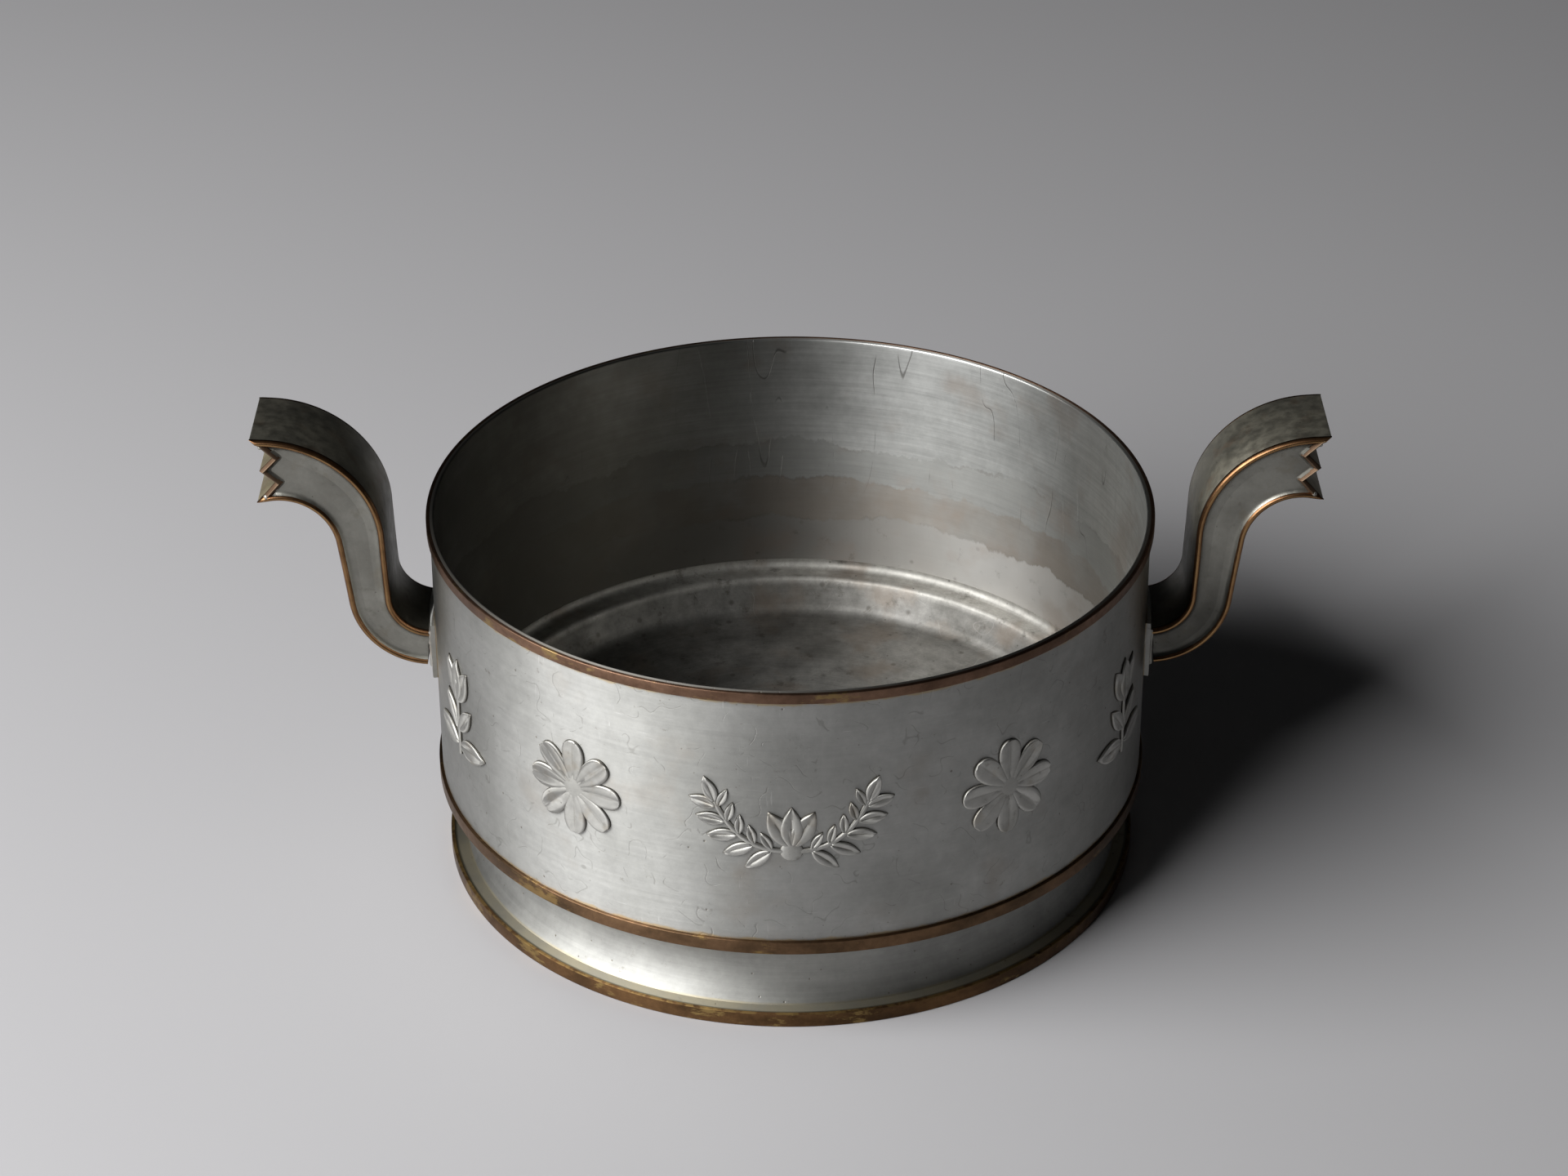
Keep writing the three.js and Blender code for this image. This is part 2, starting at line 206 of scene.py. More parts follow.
def loft(sections, closed_path=False):
    """The skin over a row of equal closed sections. An open path gets a cap at both ends."""
    sections = np.asarray(sections, float)
    count, around = sections.shape[:2]
    faces = []
    for i in range(count if closed_path else count - 1):
        here = i * around
        there = ((i + 1) % count) * around
        for j in range(around):
            beside = (j + 1) % around
            faces.append((here + j, here + beside, there + beside, there + j))
    if not closed_path:
        last = (count - 1) * around
        faces.append(tuple(range(around))[::-1])
        faces.append(tuple(range(last, last + around)))
    return sections.reshape(-1, 3), faces


def join(shells):
    """Several (vertices, faces) shells as one."""
    vertices = []
    faces = []
    start = 0
    for shell_vertices, shell_faces in shells:
        vertices.append(shell_vertices)
        faces += [tuple(index + start for index in face) for face in shell_faces]
        start += len(shell_vertices)
    return np.concatenate(vertices), faces


def add_piece(name, shell, finishes, nodes, pick_finish=None):
    """A mesh object that stands for CAD nodes. pick_finish(middle, normal) chooses a face's finish."""
    vertices, faces = shell
    mesh = bpy.data.meshes.new(name)
    mesh.from_pydata([tuple(vertex) for vertex in vertices], [], faces)
    work = bmesh.new()
    work.from_mesh(mesh)
    bmesh.ops.remove_doubles(work, verts=work.verts, dist=merge_distance)
    bmesh.ops.dissolve_degenerate(work, edges=work.edges, dist=shortest_edge)
    bmesh.ops.recalc_face_normals(work, faces=work.faces)
    for finish in finishes:
        mesh.materials.append(finish)
    if pick_finish is not None:
        for face in work.faces:
            face.material_index = pick_finish(face.calc_center_median(), face.normal)
    work.to_mesh(mesh)
    work.free()
    mesh.shade_smooth()
    mesh.set_sharp_from_angle(angle=sharp_angle)
    piece = bpy.data.objects.new(name, mesh)
    bpy.context.scene.collection.objects.link(piece)
    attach(piece, "root")
    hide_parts(*nodes)
    print(name, "has", len(mesh.polygons), "faces")
    return piece

# %% [markdown]
# ## Finishes
# Each finish is a small network of shader nodes. Writing every node by hand is slow to read, so a
# Recipe adds a node and hands back the socket that the next step needs. All patterns are placed by
# the object's own coordinates, in millimetres, so that their scale is easy to judge: a noise of
# scale 0.1 has spots of about 10 mm. Nothing depends on the camera.

# %% Recipe helper
class Recipe:
    """Adds shader nodes to a new material, one step at a time."""

    def __init__(self, name):
        self.material = bpy.data.materials.new(name)
        self.material.use_nodes = True
        self.tree = self.material.node_tree
        self.surface = self.tree.nodes["Principled BSDF"]
        coordinates = self.tree.nodes.new("ShaderNodeTexCoord")
        self.here = self.vector("SCALE", coordinates.outputs["Object"], scale=1 / mm)

    def feed(self, socket, value):
        """Links a socket to another one, or writes a plain value into it."""
        if isinstance(value, bpy.types.NodeSocket):
            self.tree.links.new(value, socket)
        else:
            socket.default_value = value

    def vector(self, operation, first, second=None, scale=None):
        node = self.tree.nodes.new("ShaderNodeVectorMath")
        node.operation = operation
        self.feed(node.inputs[0], first)
        if second is not None:
            self.feed(node.inputs[1], second)
        if scale is not None:
            self.feed(node.inputs["Scale"], scale)
        return node.outputs["Value" if operation in ("DOT_PRODUCT", "LENGTH") else "Vector"]

    def sum(self, operation, first, second=0.0, third=0.0):
        node = self.tree.nodes.new("ShaderNodeMath")
        node.operation = operation
        self.feed(node.inputs[0], first)
        self.feed(node.inputs[1], second)
        self.feed(node.inputs[2], third)
        return node.outputs[0]

    def times(self, first, second):
        return self.sum("MULTIPLY", first, second)

    def most(self, first, second):
        """The larger of two values."""
        return self.sum("MAXIMUM", first, second)

    def plus(self, base, pattern, amount):
        """The base with an amount of a pattern added to it."""
        return self.sum("MULTIPLY_ADD", pattern, amount, base)

    def part(self, axis):
        """The X, Y or Z coordinate in millimetres."""
        node = self.tree.nodes.new("ShaderNodeSeparateXYZ")
        self.feed(node.inputs[0], self.here)
        return node.outputs[axis]

    def away_from_axis(self):
        """The distance from the vertical axis in millimetres."""
        return self.vector("LENGTH", self.vector("MULTIPLY", self.here, (1, 1, 0)))

    def stretched(self, x, y, z, shift=0.0):
        """The place with each axis scaled, which draws patterns out along the small numbers."""
        moved = self.vector("ADD", self.here, (shift, shift, shift))
        return self.vector("MULTIPLY", moved, (x, y, z))

    def noise(self, place, scale=1.0, detail=3.0, roughness=0.55, distortion=0.0):
        node = self.tree.nodes.new("ShaderNodeTexNoise")
        self.feed(node.inputs["Vector"], place)
        node.inputs["Scale"].default_value = scale
        node.inputs["Detail"].default_value = detail
        node.inputs["Roughness"].default_value = roughness
        node.inputs["Distortion"].default_value = distortion
        return node.outputs["Fac"]

    def cells(self, place, scale=1.0):
        """Distance to the nearest cell point, and a random number of that cell."""
        node = self.tree.nodes.new("ShaderNodeTexVoronoi")
        self.feed(node.inputs["Vector"], place)
        node.inputs["Scale"].default_value = scale
        split = self.tree.nodes.new("ShaderNodeSeparateColor")
        self.tree.links.new(node.outputs["Color"], split.inputs[0])
        return node.outputs["Distance"], split.outputs[0]

    def fade(self, value, low, high, start=0.0, end=1.0):
        """Goes smoothly from start to end while value goes from low to high."""
        node = self.tree.nodes.new("ShaderNodeMapRange")
        node.interpolation_type = "SMOOTHSTEP"
        self.feed(node.inputs["Value"], value)
        self.feed(node.inputs["From Min"], low)
        self.feed(node.inputs["From Max"], high)
        node.inputs["To Min"].default_value = start
        node.inputs["To Max"].default_value = end
        return node.outputs["Result"]

    def blend(self, amount, first, second):
        """A colour between two colours."""
        node = self.tree.nodes.new("ShaderNodeMix")
        node.data_type = "RGBA"
        self.feed(node.inputs["Factor"], amount)
        self.feed(node.inputs["A"], first)
        self.feed(node.inputs["B"], second)
        return node.outputs["Result"]

    def stain(self, colour, mask, amount, stain_colour):
        """A colour with a stain over it where the mask is 1, as strong as the amount."""
        return self.blend(self.times(mask, amount), colour, stain_colour)

    def shaded(self, colour, pattern, contrast):
        """A colour made lighter and darker by a pattern that lies around one half."""
        brightness = self.plus(1 - contrast / 2, pattern, contrast)
        return self.vector("SCALE", colour, scale=brightness)

    def finish(self, colour, roughness, height, depth, metallic=1.0):
        """Wires the colour, the roughness and a fine bump (depth in millimetres) to the surface."""
        bump = self.tree.nodes.new("ShaderNodeBump")
        bump.inputs["Distance"].default_value = depth * mm
        self.feed(bump.inputs["Height"], height)
        self.feed(self.surface.inputs["Base Color"], colour)
        self.feed(self.surface.inputs["Roughness"], roughness)
        self.surface.inputs["Metallic"].default_value = metallic
        self.tree.links.new(bump.outputs["Normal"], self.surface.inputs["Normal"])
        return self.material

    def brush_round(self, strength):
        """Makes highlights stretch across the turning marks, as on metal finished on a lathe."""
        tangent = self.tree.nodes.new("ShaderNodeTangent")
        tangent.direction_type = "RADIAL"
        tangent.axis = "Z"
        self.surface.inputs["Anisotropic"].default_value = strength
        self.surface.inputs["Anisotropic Rotation"].default_value = 0.25
        self.tree.links.new(tangent.outputs[0], self.surface.inputs["Tangent"])


def tint(red, green, blue):
    return (red, green, blue, 1)


recipe_steps = [step for step in vars(Recipe) if not step.startswith("_")]
print("a recipe has", len(recipe_steps), "kinds of step")

# %% [markdown]
# ### Marks that several finishes share
# Old pewter has the same marks wherever it was brushed and handled: fine turning lines, cloudy
# patches, small pits and stray scratches. A turning line runs round the axis, so its pattern is
# squeezed along Z and left long along X and Y. A scratch is the thin crest of a long, narrow noise.

# %% Shared marks
def turning_lines(recipe, pitch=0.45):
    """Fine lines round the axis, about pitch millimetres apart."""
    return recipe.noise(recipe.stretched(0.02, 0.02, 1 / pitch), detail=2)


def streaks(recipe, pitch, shift=0.0):
    """Broader strokes of the brush round the axis, of several widths at once."""
    return recipe.noise(recipe.stretched(0.016, 0.016, 1 / pitch, shift), detail=5, roughness=0.7)


def clouds(recipe, size, shift=0.0, detail=4.0, roughness=0.55):
    """Soft patches of about size millimetres."""
    place = recipe.stretched(1 / size, 1 / size, 1 / size, shift)
    return recipe.noise(place, detail=detail, roughness=roughness)


def mottled(recipe, patches, dark, light):
    """Two tones that run into each other in soft patches."""
    return recipe.blend(recipe.fade(patches, 0.35, 0.65), dark, light)


def pits(recipe, spacing, share, radius, shift=0.0):
    """Small round dents: 1 inside a dent, 0 outside. Only a share of the cells has one."""
    distance, chance = recipe.cells(recipe.stretched(1 / spacing, 1 / spacing, 1 / spacing, shift))
    near = recipe.fade(distance, 0.3 * radius / spacing, radius / spacing, 1.0, 0.0)
    return recipe.times(near, recipe.sum("LESS_THAN", chance, share))


def scratches(recipe, place, patches, rarity=0.72):
    """Thin stray lines, only where the patches allow them."""
    crest = recipe.fade(recipe.noise(place, detail=1.5), rarity, rarity + 0.03)
    return recipe.times(crest, recipe.fade(patches, 0.48, 0.6))


def hairlines(recipe, place, width, patches):
    """Long thin curves: the places where a slow noise passes one half, where the patches allow them."""
    off = recipe.sum("ABSOLUTE", recipe.sum("SUBTRACT", recipe.noise(place, detail=1.0), 0.5))
    return recipe.times(recipe.fade(off, 0.2 * width, width, 1.0, 0.0), recipe.fade(patches, 0.5, 0.56))


def allowed(recipe, value, low, high, soft):
    """1 between two limits, fading to 0 outside them."""
    rise = recipe.fade(value, low - soft, low)
    fall = recipe.fade(value, high, high + soft, 1.0, 0.0)
    return recipe.times(rise, fall)


print("marks: turning lines, streaks, clouds, pits, scratches and hairlines")

# %% [markdown]
# ### Pewter outside
# Satin pewter is a pale grey with a hint of green. Brushing it round the wall makes its highlights
# spread up and down, which we get with an anisotropic surface. Three things happened to it since: a
# film of gold colour crept out from the brass bands, soldering the plates left heat stains, and dirt
# settled in crusts, smudges and pits. Each is a mask: 1 where the stain is, 0 where it isn't.

# %% Stains on the wall
scorch_middle = 107
scorch_half_height = 14
scorch_reach = 8
crust_lowest = 140
crust_highest = 163


def band_film(recipe, height):
    """The film under the rim band and over the belt band, with a wandering edge."""
    rim = rim_low.z / mm
    belt = belt_high.z / mm
    creep = recipe.plus(-1.5, clouds(recipe, 9, shift=5), 5.0)
    under_rim = recipe.fade(recipe.sum("ADD", height, creep), rim - 0.8, rim + 0.4)
    below_band = recipe.fade(height, rim + 0.6, rim + 1.4, 1.0, 0.0)
    over_belt = recipe.fade(recipe.sum("SUBTRACT", height, creep), belt + 0.3, belt - 0.9)
    return recipe.most(recipe.times(under_rim, below_band), over_belt)


def plate_scorch(recipe, height):
    """The heat stain round a handle plate. It fades out over scorch_reach millimetres."""
    beside = recipe.sum("SUBTRACT", recipe.sum("ABSOLUTE", recipe.part("Y")), plate_high.y / mm)
    from_middle = recipe.sum("ABSOLUTE", recipe.sum("SUBTRACT", height, scorch_middle))
    past = recipe.sum("SUBTRACT", from_middle, scorch_half_height)
    return recipe.fade(recipe.most(beside, past), 0, scorch_reach, 0.75, 0.0)


def wall_dirt(recipe, height, dents):
    """Crusts high on the wall, smudges, the bottoms of the dents, and flecks."""
    crust_noise = recipe.noise(recipe.stretched(0.06, 0.06, 0.2, 17), detail=6, roughness=0.7)
    high_up = allowed(recipe, height, crust_lowest, crust_highest, 8)
    crust = recipe.times(recipe.fade(crust_noise, 0.70, 0.72), high_up)
    smudge_noise = clouds(recipe, 9, shift=63, detail=6, roughness=0.75)
    smudges = recipe.fade(smudge_noise, 0.63, 0.72, 0.0, 0.5)
    flecks = pits(recipe, spacing=4.5, share=0.22, radius=0.5, shift=23)
    spots = recipe.most(recipe.times(dents, 0.7), recipe.times(flecks, 0.5))
    return recipe.most(spots, recipe.most(recipe.times(crust, 0.65), smudges))


scorch_lowest = scorch_middle - scorch_half_height - scorch_reach
scorch_highest = scorch_middle + scorch_half_height + scorch_reach
print("heat stains lie", scorch_lowest, "to", scorch_highest, "mm above the table")

# %% Wall finish
def wall_finish():
    recipe = Recipe("satin_pewter")
    height = recipe.part("Z")
    outer = wall_radius / mm
    on_wall = recipe.fade(recipe.away_from_axis(), outer + 0.3, outer + 0.5, 1.0, 0.0)
    strokes_round = streaks(recipe, pitch=1.7, shift=4)
    haze = clouds(recipe, 14, shift=3)
    dents = pits(recipe, spacing=10, share=0.45, radius=0.75, shift=7)

    grey = mottled(
        recipe, clouds(recipe, 60, shift=11), tint(0.39, 0.39, 0.37), tint(0.475, 0.475, 0.455))
    grey = recipe.shaded(grey, strokes_round, 0.24)
    grey = recipe.shaded(grey, clouds(recipe, 5, shift=19, detail=7, roughness=0.75), 0.4)
    tarnish = recipe.fade(clouds(recipe, 38, shift=40), 0.56, 0.74, 0.0, 0.5)
    grey = recipe.stain(grey, tarnish, haze, tint(0.34, 0.28, 0.22))
    film = recipe.times(band_film(recipe, height), on_wall)
    grey = recipe.stain(grey, film, 0.75, tint(0.50, 0.38, 0.21))
    patchy = recipe.times(recipe.fade(haze, 0.3, 0.6), on_wall)
    grey = recipe.stain(grey, plate_scorch(recipe, height), patchy, tint(0.33, 0.25, 0.15))
    grey = recipe.blend(wall_dirt(recipe, height, dents), grey, tint(0.17, 0.15, 0.12))
    hairs = hairlines(recipe, recipe.stretched(0.07, 0.07, 0.07, 31), 0.01, clouds(recipe, 12, shift=88))
    grey = recipe.stain(grey, hairs, 0.28, tint(0.14, 0.13, 0.11))
    around = scratches(recipe, recipe.stretched(0.05, 0.12, 1.6, 2), clouds(recipe, 25, shift=60))
    upright = scratches(recipe, recipe.stretched(1.7, 0.9, 0.09, 9), clouds(recipe, 30, shift=80))
    grey = recipe.stain(grey, recipe.most(around, upright), 0.35, tint(0.7, 0.7, 0.68))
    top = rim_height / mm
    top_edge = recipe.fade(height, top - 1.1, top - 0.6, 0.0, 0.85)
    grey = recipe.blend(top_edge, grey, tint(0.20, 0.185, 0.165))

    shine = recipe.plus(recipe.fade(haze, 0.2, 0.8, 0.42, 0.47), strokes_round, 0.08)
    shine = recipe.most(shine, recipe.times(top_edge, 0.85))
    relief = recipe.plus(turning_lines(recipe), dents, -6.0)
    relief = recipe.plus(relief, strokes_round, 1.1)
    relief = recipe.plus(relief, hairs, -2.5)
    recipe.brush_round(0.82)
    return recipe.finish(grey, shine, relief, 0.012)


satin_pewter = wall_finish()
print("made", satin_pewter.name)

# %% [markdown]
# ### Pewter inside
# Soups left tide marks inside the bowl. A tide mark is a level line that wobbles, so each one compares the
# height with a slow noise. The metal changes its tone from one mark to the next, and a thin dark line,
# broken in places, follows each mark. Below the lowest mark the metal is paler, and paler still towards
# the right-hand side, which is painted light. The left-hand side is darkened in cloudy patches, which is
# painted shade. Long scratches run down from the rim, where ladles scraped.

# %% Tide marks
tide_levels = {"high": 114, "middle": 94, "low": 74}


def tide(recipe, level, wobble, size, shift):
    """Two masks: all that lies below a wobbling level line, and the thin line itself."""
    sway = recipe.noise(recipe.stretched(1 / size, 1 / size, 0.01, shift), detail=7, roughness=0.68)
    line = recipe.plus(level - wobble / 2, sway, wobble)
    lifted = recipe.sum("SUBTRACT", recipe.part("Z"), line)
    below = recipe.fade(lifted, -0.7, 0.7, 1.0, 0.0)
    return below, recipe.fade(recipe.sum("ABSOLUTE", lifted), 0.2, 1.1, 1.0, 0.0)


def bowl_tides(recipe, grey, high, middle, low):
    """The tones of the metal below each tide mark, and the dark lines along the marks. Below the lowest
    mark the tone grows paler towards the right as painted light.
    """
    grey = recipe.stain(grey, high[0], 0.65, tint(0.29, 0.29, 0.275))
    brown = recipe.fade(clouds(recipe, 50, shift=61), 0.4, 0.6, 0.25, 0.7)
    grey = recipe.stain(grey, middle[0], brown, tint(0.29, 0.25, 0.21))
    # Painted light: below the lowest mark the metal is paler towards the right-hand side, which faces the
    # lamp.
    painted_light_to_right = recipe.fade(recipe.part("X"), 50, 110)
    tide_tone_and_painted_light = recipe.blend(painted_light_to_right, tint(0.33, 0.325, 0.31), tint(0.56, 0.55, 0.53))
    grey = recipe.stain(grey, low[0], 0.7, tide_tone_and_painted_light)
    lines = recipe.most(high[1], recipe.most(middle[1], low[1]))
    kept = recipe.times(recipe.fade(clouds(recipe, 24, shift=83), 0.45, 0.6), 0.3)
    return recipe.stain(grey, lines, kept, tint(0.18, 0.16, 0.14))


def bowl_spots(recipe, height):
    """Specks and smudges, mostly low in the bowl, and flecks all over."""
    specks = pits(recipe, spacing=11, share=0.4, radius=1.6, shift=9)
    flecks = pits(recipe, spacing=4, share=0.2, radius=0.45, shift=37)
    smudges = recipe.fade(clouds(recipe, 8, shift=31, detail=6, roughness=0.7), 0.58, 0.74)
    spots = recipe.most(recipe.times(specks, 0.8), smudges)
    spots = recipe.times(spots, recipe.fade(height, 85, 50, 0.15, 1.0))
    return recipe.most(spots, recipe.times(flecks, 0.6))


print("tide marks lie at about", *tide_levels.values(), "mm above the table")

# %% Bowl finish
def bowl_finish():
    recipe = Recipe("stained_pewter")
    height = recipe.part("Z")
    strokes_round = streaks(recipe, pitch=1.8, shift=14)
    haze = clouds(recipe, 18, shift=21)
    high = tide(recipe, level=tide_levels["high"], wobble=34, size=60, shift=15)
    middle = tide(recipe, level=tide_levels["middle"], wobble=30, size=45, shift=33)
    low = tide(recipe, level=tide_levels["low"], wobble=26, size=40, shift=52)

    grey = mottled(
        recipe, clouds(recipe, 70, shift=4), tint(0.45, 0.455, 0.44), tint(0.55, 0.555, 0.54))
    grey = recipe.shaded(grey, strokes_round, 0.75)
    grey = recipe.shaded(grey, clouds(recipe, 4, shift=9, detail=6, roughness=0.7), 0.4)
    grey = bowl_tides(recipe, grey, high, middle, low)
    rust = recipe.fade(clouds(recipe, 30, shift=71), 0.52, 0.72, 0.0, 0.4)
    grey = recipe.blend(rust, grey, tint(0.34, 0.27, 0.22))
    # Painted shade: the left-hand inside of the bowl, turned away from the lamp, is darkened in cloudy
    # patches.
    painted_shade_patches = recipe.fade(clouds(recipe, 45, shift=93), 0.3, 0.6, 0.85, 1.0)
    to_left = recipe.fade(recipe.part("X"), 20, -90, 0.0, 0.9)
    grey = recipe.stain(grey, painted_shade_patches, to_left, tint(0.095, 0.09, 0.075))
    grey = recipe.stain(grey, bowl_spots(recipe, height), 0.55, tint(0.13, 0.115, 0.1))
    runs = hairlines(recipe, recipe.stretched(0.05, 0.05, 0.009, 3), 0.004, clouds(recipe, 40, shift=12))
    runs = recipe.times(runs, recipe.fade(height, 85, 110))
    grey = recipe.stain(grey, runs, 0.6, tint(0.1, 0.095, 0.085))

    shine = recipe.plus(recipe.fade(haze, 0.2, 0.8, 0.42, 0.46), high[0], 0.05)
    relief = recipe.plus(turning_lines(recipe, pitch=0.6), runs, -3.0)
    relief = recipe.plus(relief, strokes_round, 2.0)
    recipe.brush_round(0.74)
    return recipe.finish(grey, shine, relief, 0.012)


stained_pewter = bowl_finish()
print("made", stained_pewter.name)

# %% [markdown]
# ### Pewter of the pan
# The pan is the bowl's metal with more brown in it, and its shelf is paler than its floor. It was
# spun, so its turning marks are rings in a flat sheet: the noise gets the distance from the axis as
# its third number, which squeezes it into rings.

# %% Pan finish
def pan_finish():
    recipe = Recipe("well_pewter")
    ring_place = recipe.tree.nodes.new("ShaderNodeCombineXYZ")
    recipe.feed(ring_place.inputs[0], recipe.times(recipe.part("X"), 0.02))
    recipe.feed(ring_place.inputs[1], recipe.times(recipe.part("Y"), 0.02))
    recipe.feed(ring_place.inputs[2], recipe.times(recipe.away_from_axis(), 0.8))
    rings = recipe.noise(ring_place.outputs[0], detail=5, roughness=0.7)
    haze = clouds(recipe, 20, shift=17)
    grey = mottled(recipe, clouds(recipe, 55, shift=2), tint(0.17, 0.165, 0.152), tint(0.26, 0.255, 0.24))
    shelf = shelf_height / mm
    on_shelf = recipe.fade(recipe.part("Z"), shelf - 4, shelf - 1, 0.0, 0.75)
    grey = recipe.blend(on_shelf, grey, tint(0.43, 0.42, 0.39))
    grey = recipe.shaded(grey, rings, 0.5)
    grey = recipe.shaded(grey, clouds(recipe, 6, shift=23, detail=8, roughness=0.8), 1.3)
    rust = recipe.fade(clouds(recipe, 26, shift=51), 0.5, 0.7, 0.0, 0.5)
    grey = recipe.blend(rust, grey, tint(0.21, 0.17, 0.135))
    smudges = recipe.fade(clouds(recipe, 12, shift=31, detail=6, roughness=0.7), 0.56, 0.72)
    specks = pits(recipe, spacing=11, share=0.45, radius=2.0, shift=9)
    flecks = pits(recipe, spacing=4.5, share=0.3, radius=0.7, shift=67)
    spots = recipe.most(recipe.times(specks, 0.8), recipe.most(smudges, flecks))
    grey = recipe.stain(grey, spots, 0.72, tint(0.085, 0.077, 0.065))
    curls = hairlines(recipe, recipe.stretched(0.04, 0.04, 0.04, 41), 0.005, clouds(recipe, 20, shift=5))
    grey = recipe.stain(grey, curls, 0.3, tint(0.36, 0.35, 0.33))
    shine = recipe.fade(haze, 0.2, 0.8, 0.50, 0.66)
    recipe.brush_round(0.35)
    return recipe.finish(grey, shine, recipe.plus(rings, specks, -3.0), 0.014)


well_pewter = pan_finish()
print("made", well_pewter.name)

# %% [markdown]
# ### Pewter of the foot
# The foot is cleaner than the rest, but its flat ledge collected yellow dirt, and a dark line of it
# sits in the groove by the brass band.

# %% Foot finish
def foot_finish():
    recipe = Recipe("foot_pewter")
    lines = turning_lines(recipe, pitch=0.5)
    strokes_round = streaks(recipe, pitch=1.6, shift=24)
    haze = clouds(recipe, 16, shift=8)
    grey = mottled(recipe, clouds(recipe, 45, shift=14), tint(0.35, 0.35, 0.335), tint(0.43, 0.43, 0.41))
    grey = recipe.shaded(grey, strokes_round, 0.4)
    grey = recipe.shaded(grey, clouds(recipe, 3.5, shift=29, detail=6, roughness=0.7), 0.36)
    ledge = recipe.fade(recipe.part("Z"), ledge_height / mm + 1.0, ledge_height / mm + 0.3)
    dirt_and_shade = recipe.times(ledge, recipe.fade(haze, 0.25, 0.65, 0.5, 0.95))
    grey = recipe.blend(dirt_and_shade, grey, tint(0.44, 0.40, 0.30))
    edge = foot_radius / mm
    groove = recipe.fade(recipe.away_from_axis(), edge - 1.6, edge - 0.6, 0.0, 0.8)
    grey = recipe.stain(grey, groove, ledge, tint(0.09, 0.08, 0.05))
    smudges = recipe.fade(clouds(recipe, 10, shift=77, detail=7, roughness=0.8), 0.60, 0.70)
    specks = pits(recipe, spacing=5, share=0.45, radius=0.6, shift=19)
    spots = recipe.most(recipe.times(smudges, 0.5), recipe.times(specks, 0.7))
    grey = recipe.blend(spots, grey, tint(0.17, 0.15, 0.11))
    shine = recipe.fade(haze, 0.2, 0.8, 0.46, 0.56)
    shine = recipe.plus(shine, strokes_round, 0.08)
    relief = recipe.plus(lines, strokes_round, 1.5)
    recipe.brush_round(0.62)
    return recipe.finish(grey, shine, recipe.plus(relief, specks, -5.0), 0.012)


foot_pewter = foot_finish()
print("made", foot_pewter.name)

# %% [markdown]
# ### Cast pewter
# The handles are cast, so they have no turning lines. Their top is dark and their side panels are paler. A
# cast finish can be lighter or darker on the right-hand handle, and darker towards the roots: that is
# painted light and shade, for the lamp at the left and the shade near the bowl.

# %% Cast metal
def cast_metal(name, dark, light, brown, shine, right_tone=1.0):
    """Cloudy metal with brown patches. The last argument scales the colour of the right-hand handle:
    painted light above 1, painted shade below 1.
    """
    recipe = Recipe(name)
    patches = clouds(recipe, 22, shift=6)
    haze = clouds(recipe, 5, shift=27)
    grain = clouds(recipe, 0.7, shift=13, detail=2)
    colour = mottled(recipe, patches, dark, light)
    colour = recipe.shaded(colour, clouds(recipe, 3, shift=49, detail=7, roughness=0.8), 0.4)
    rust = recipe.fade(clouds(recipe, 11, shift=44), 0.54, 0.7, 0.0, 0.45)
    colour = recipe.blend(rust, colour, brown)
    colour = recipe.blend(recipe.fade(haze, 0.6, 0.75, 0.0, 0.35), colour, tint(0.1, 0.09, 0.07))
    specks = pits(recipe, spacing=5, share=0.4, radius=0.5, shift=29)
    colour = recipe.stain(colour, specks, 0.6, tint(0.08, 0.07, 0.06))
    # Painted light and shade: the right-hand handle is scaled lighter or darker, as the lamp at the left
    # falls on it.
    painted_side_light = recipe.fade(recipe.part("X"), -20, 20, 1.0, right_tone)
    colour = recipe.vector("SCALE", colour, scale=painted_side_light)
    return recipe, colour, specks, recipe.fade(haze, 0.2, 0.8, *shine), grain


def cast(name, root_shade=1.0, right_root_shade=1.0, **tones):
    """A finish for the handles. Below 1, root_shade darkens the root and the stem of both handles, and
    right_root_shade darkens the right-hand root alone. Both are painted shade: the shade near the bowl,
    and the bowl's shadow on the right-hand root."""
    recipe, colour, specks, shine, grain = cast_metal(name, **tones)
    height = recipe.part("Z")
    # Painted shade: both handles grow darker towards the roots, near the bowl.
    colour = recipe.vector("SCALE", colour, scale=recipe.fade(height, 150, 200, root_shade, 1.0))
    # Painted shadow of the bowl on the right-hand root alone.
    on_left = recipe.fade(recipe.part("X"), -20, 20, 1.0, 0.0)
    painted_root_shadow = recipe.most(on_left, recipe.fade(height, 115, 160, right_root_shade, 1.0))
    colour = recipe.vector("SCALE", colour, scale=painted_root_shadow)
    return recipe.finish(colour, shine, recipe.plus(grain, specks, -2.0), 0.03)


print("cast metal has clouds of two tones, brown patches and dark specks")

# %% Cast finishes
dark_cast = cast(
    "dark_cast_pewter",
    dark=tint(0.24, 0.23, 0.19),
    light=tint(0.36, 0.34, 0.275),
    brown=tint(0.26, 0.19, 0.13),
    shine=(0.38, 0.5),
    # painted light: the top of the right-hand handle faces the lamp
    right_tone=1.6,
    # painted shade towards the roots
    root_shade=0.32,
)
pale_cast = cast(
    "pale_cast_pewter",
    dark=tint(0.23, 0.225, 0.2),
    light=tint(0.29, 0.285, 0.255),
    brown=tint(0.2, 0.18, 0.14),
    shine=(0.37, 0.48),
    # painted shadow of the bowl on the right-hand root
    right_root_shade=0.4,
)
tip_cast = cast(
    "tip_pewter",
    dark=tint(0.32, 0.275, 0.17),
    light=tint(0.44, 0.385, 0.25),
    brown=tint(0.28, 0.2, 0.12),
    shine=(0.42, 0.54),
    # painted shade: the right-hand teeth face away from the lamp
    right_tone=0.45,
)
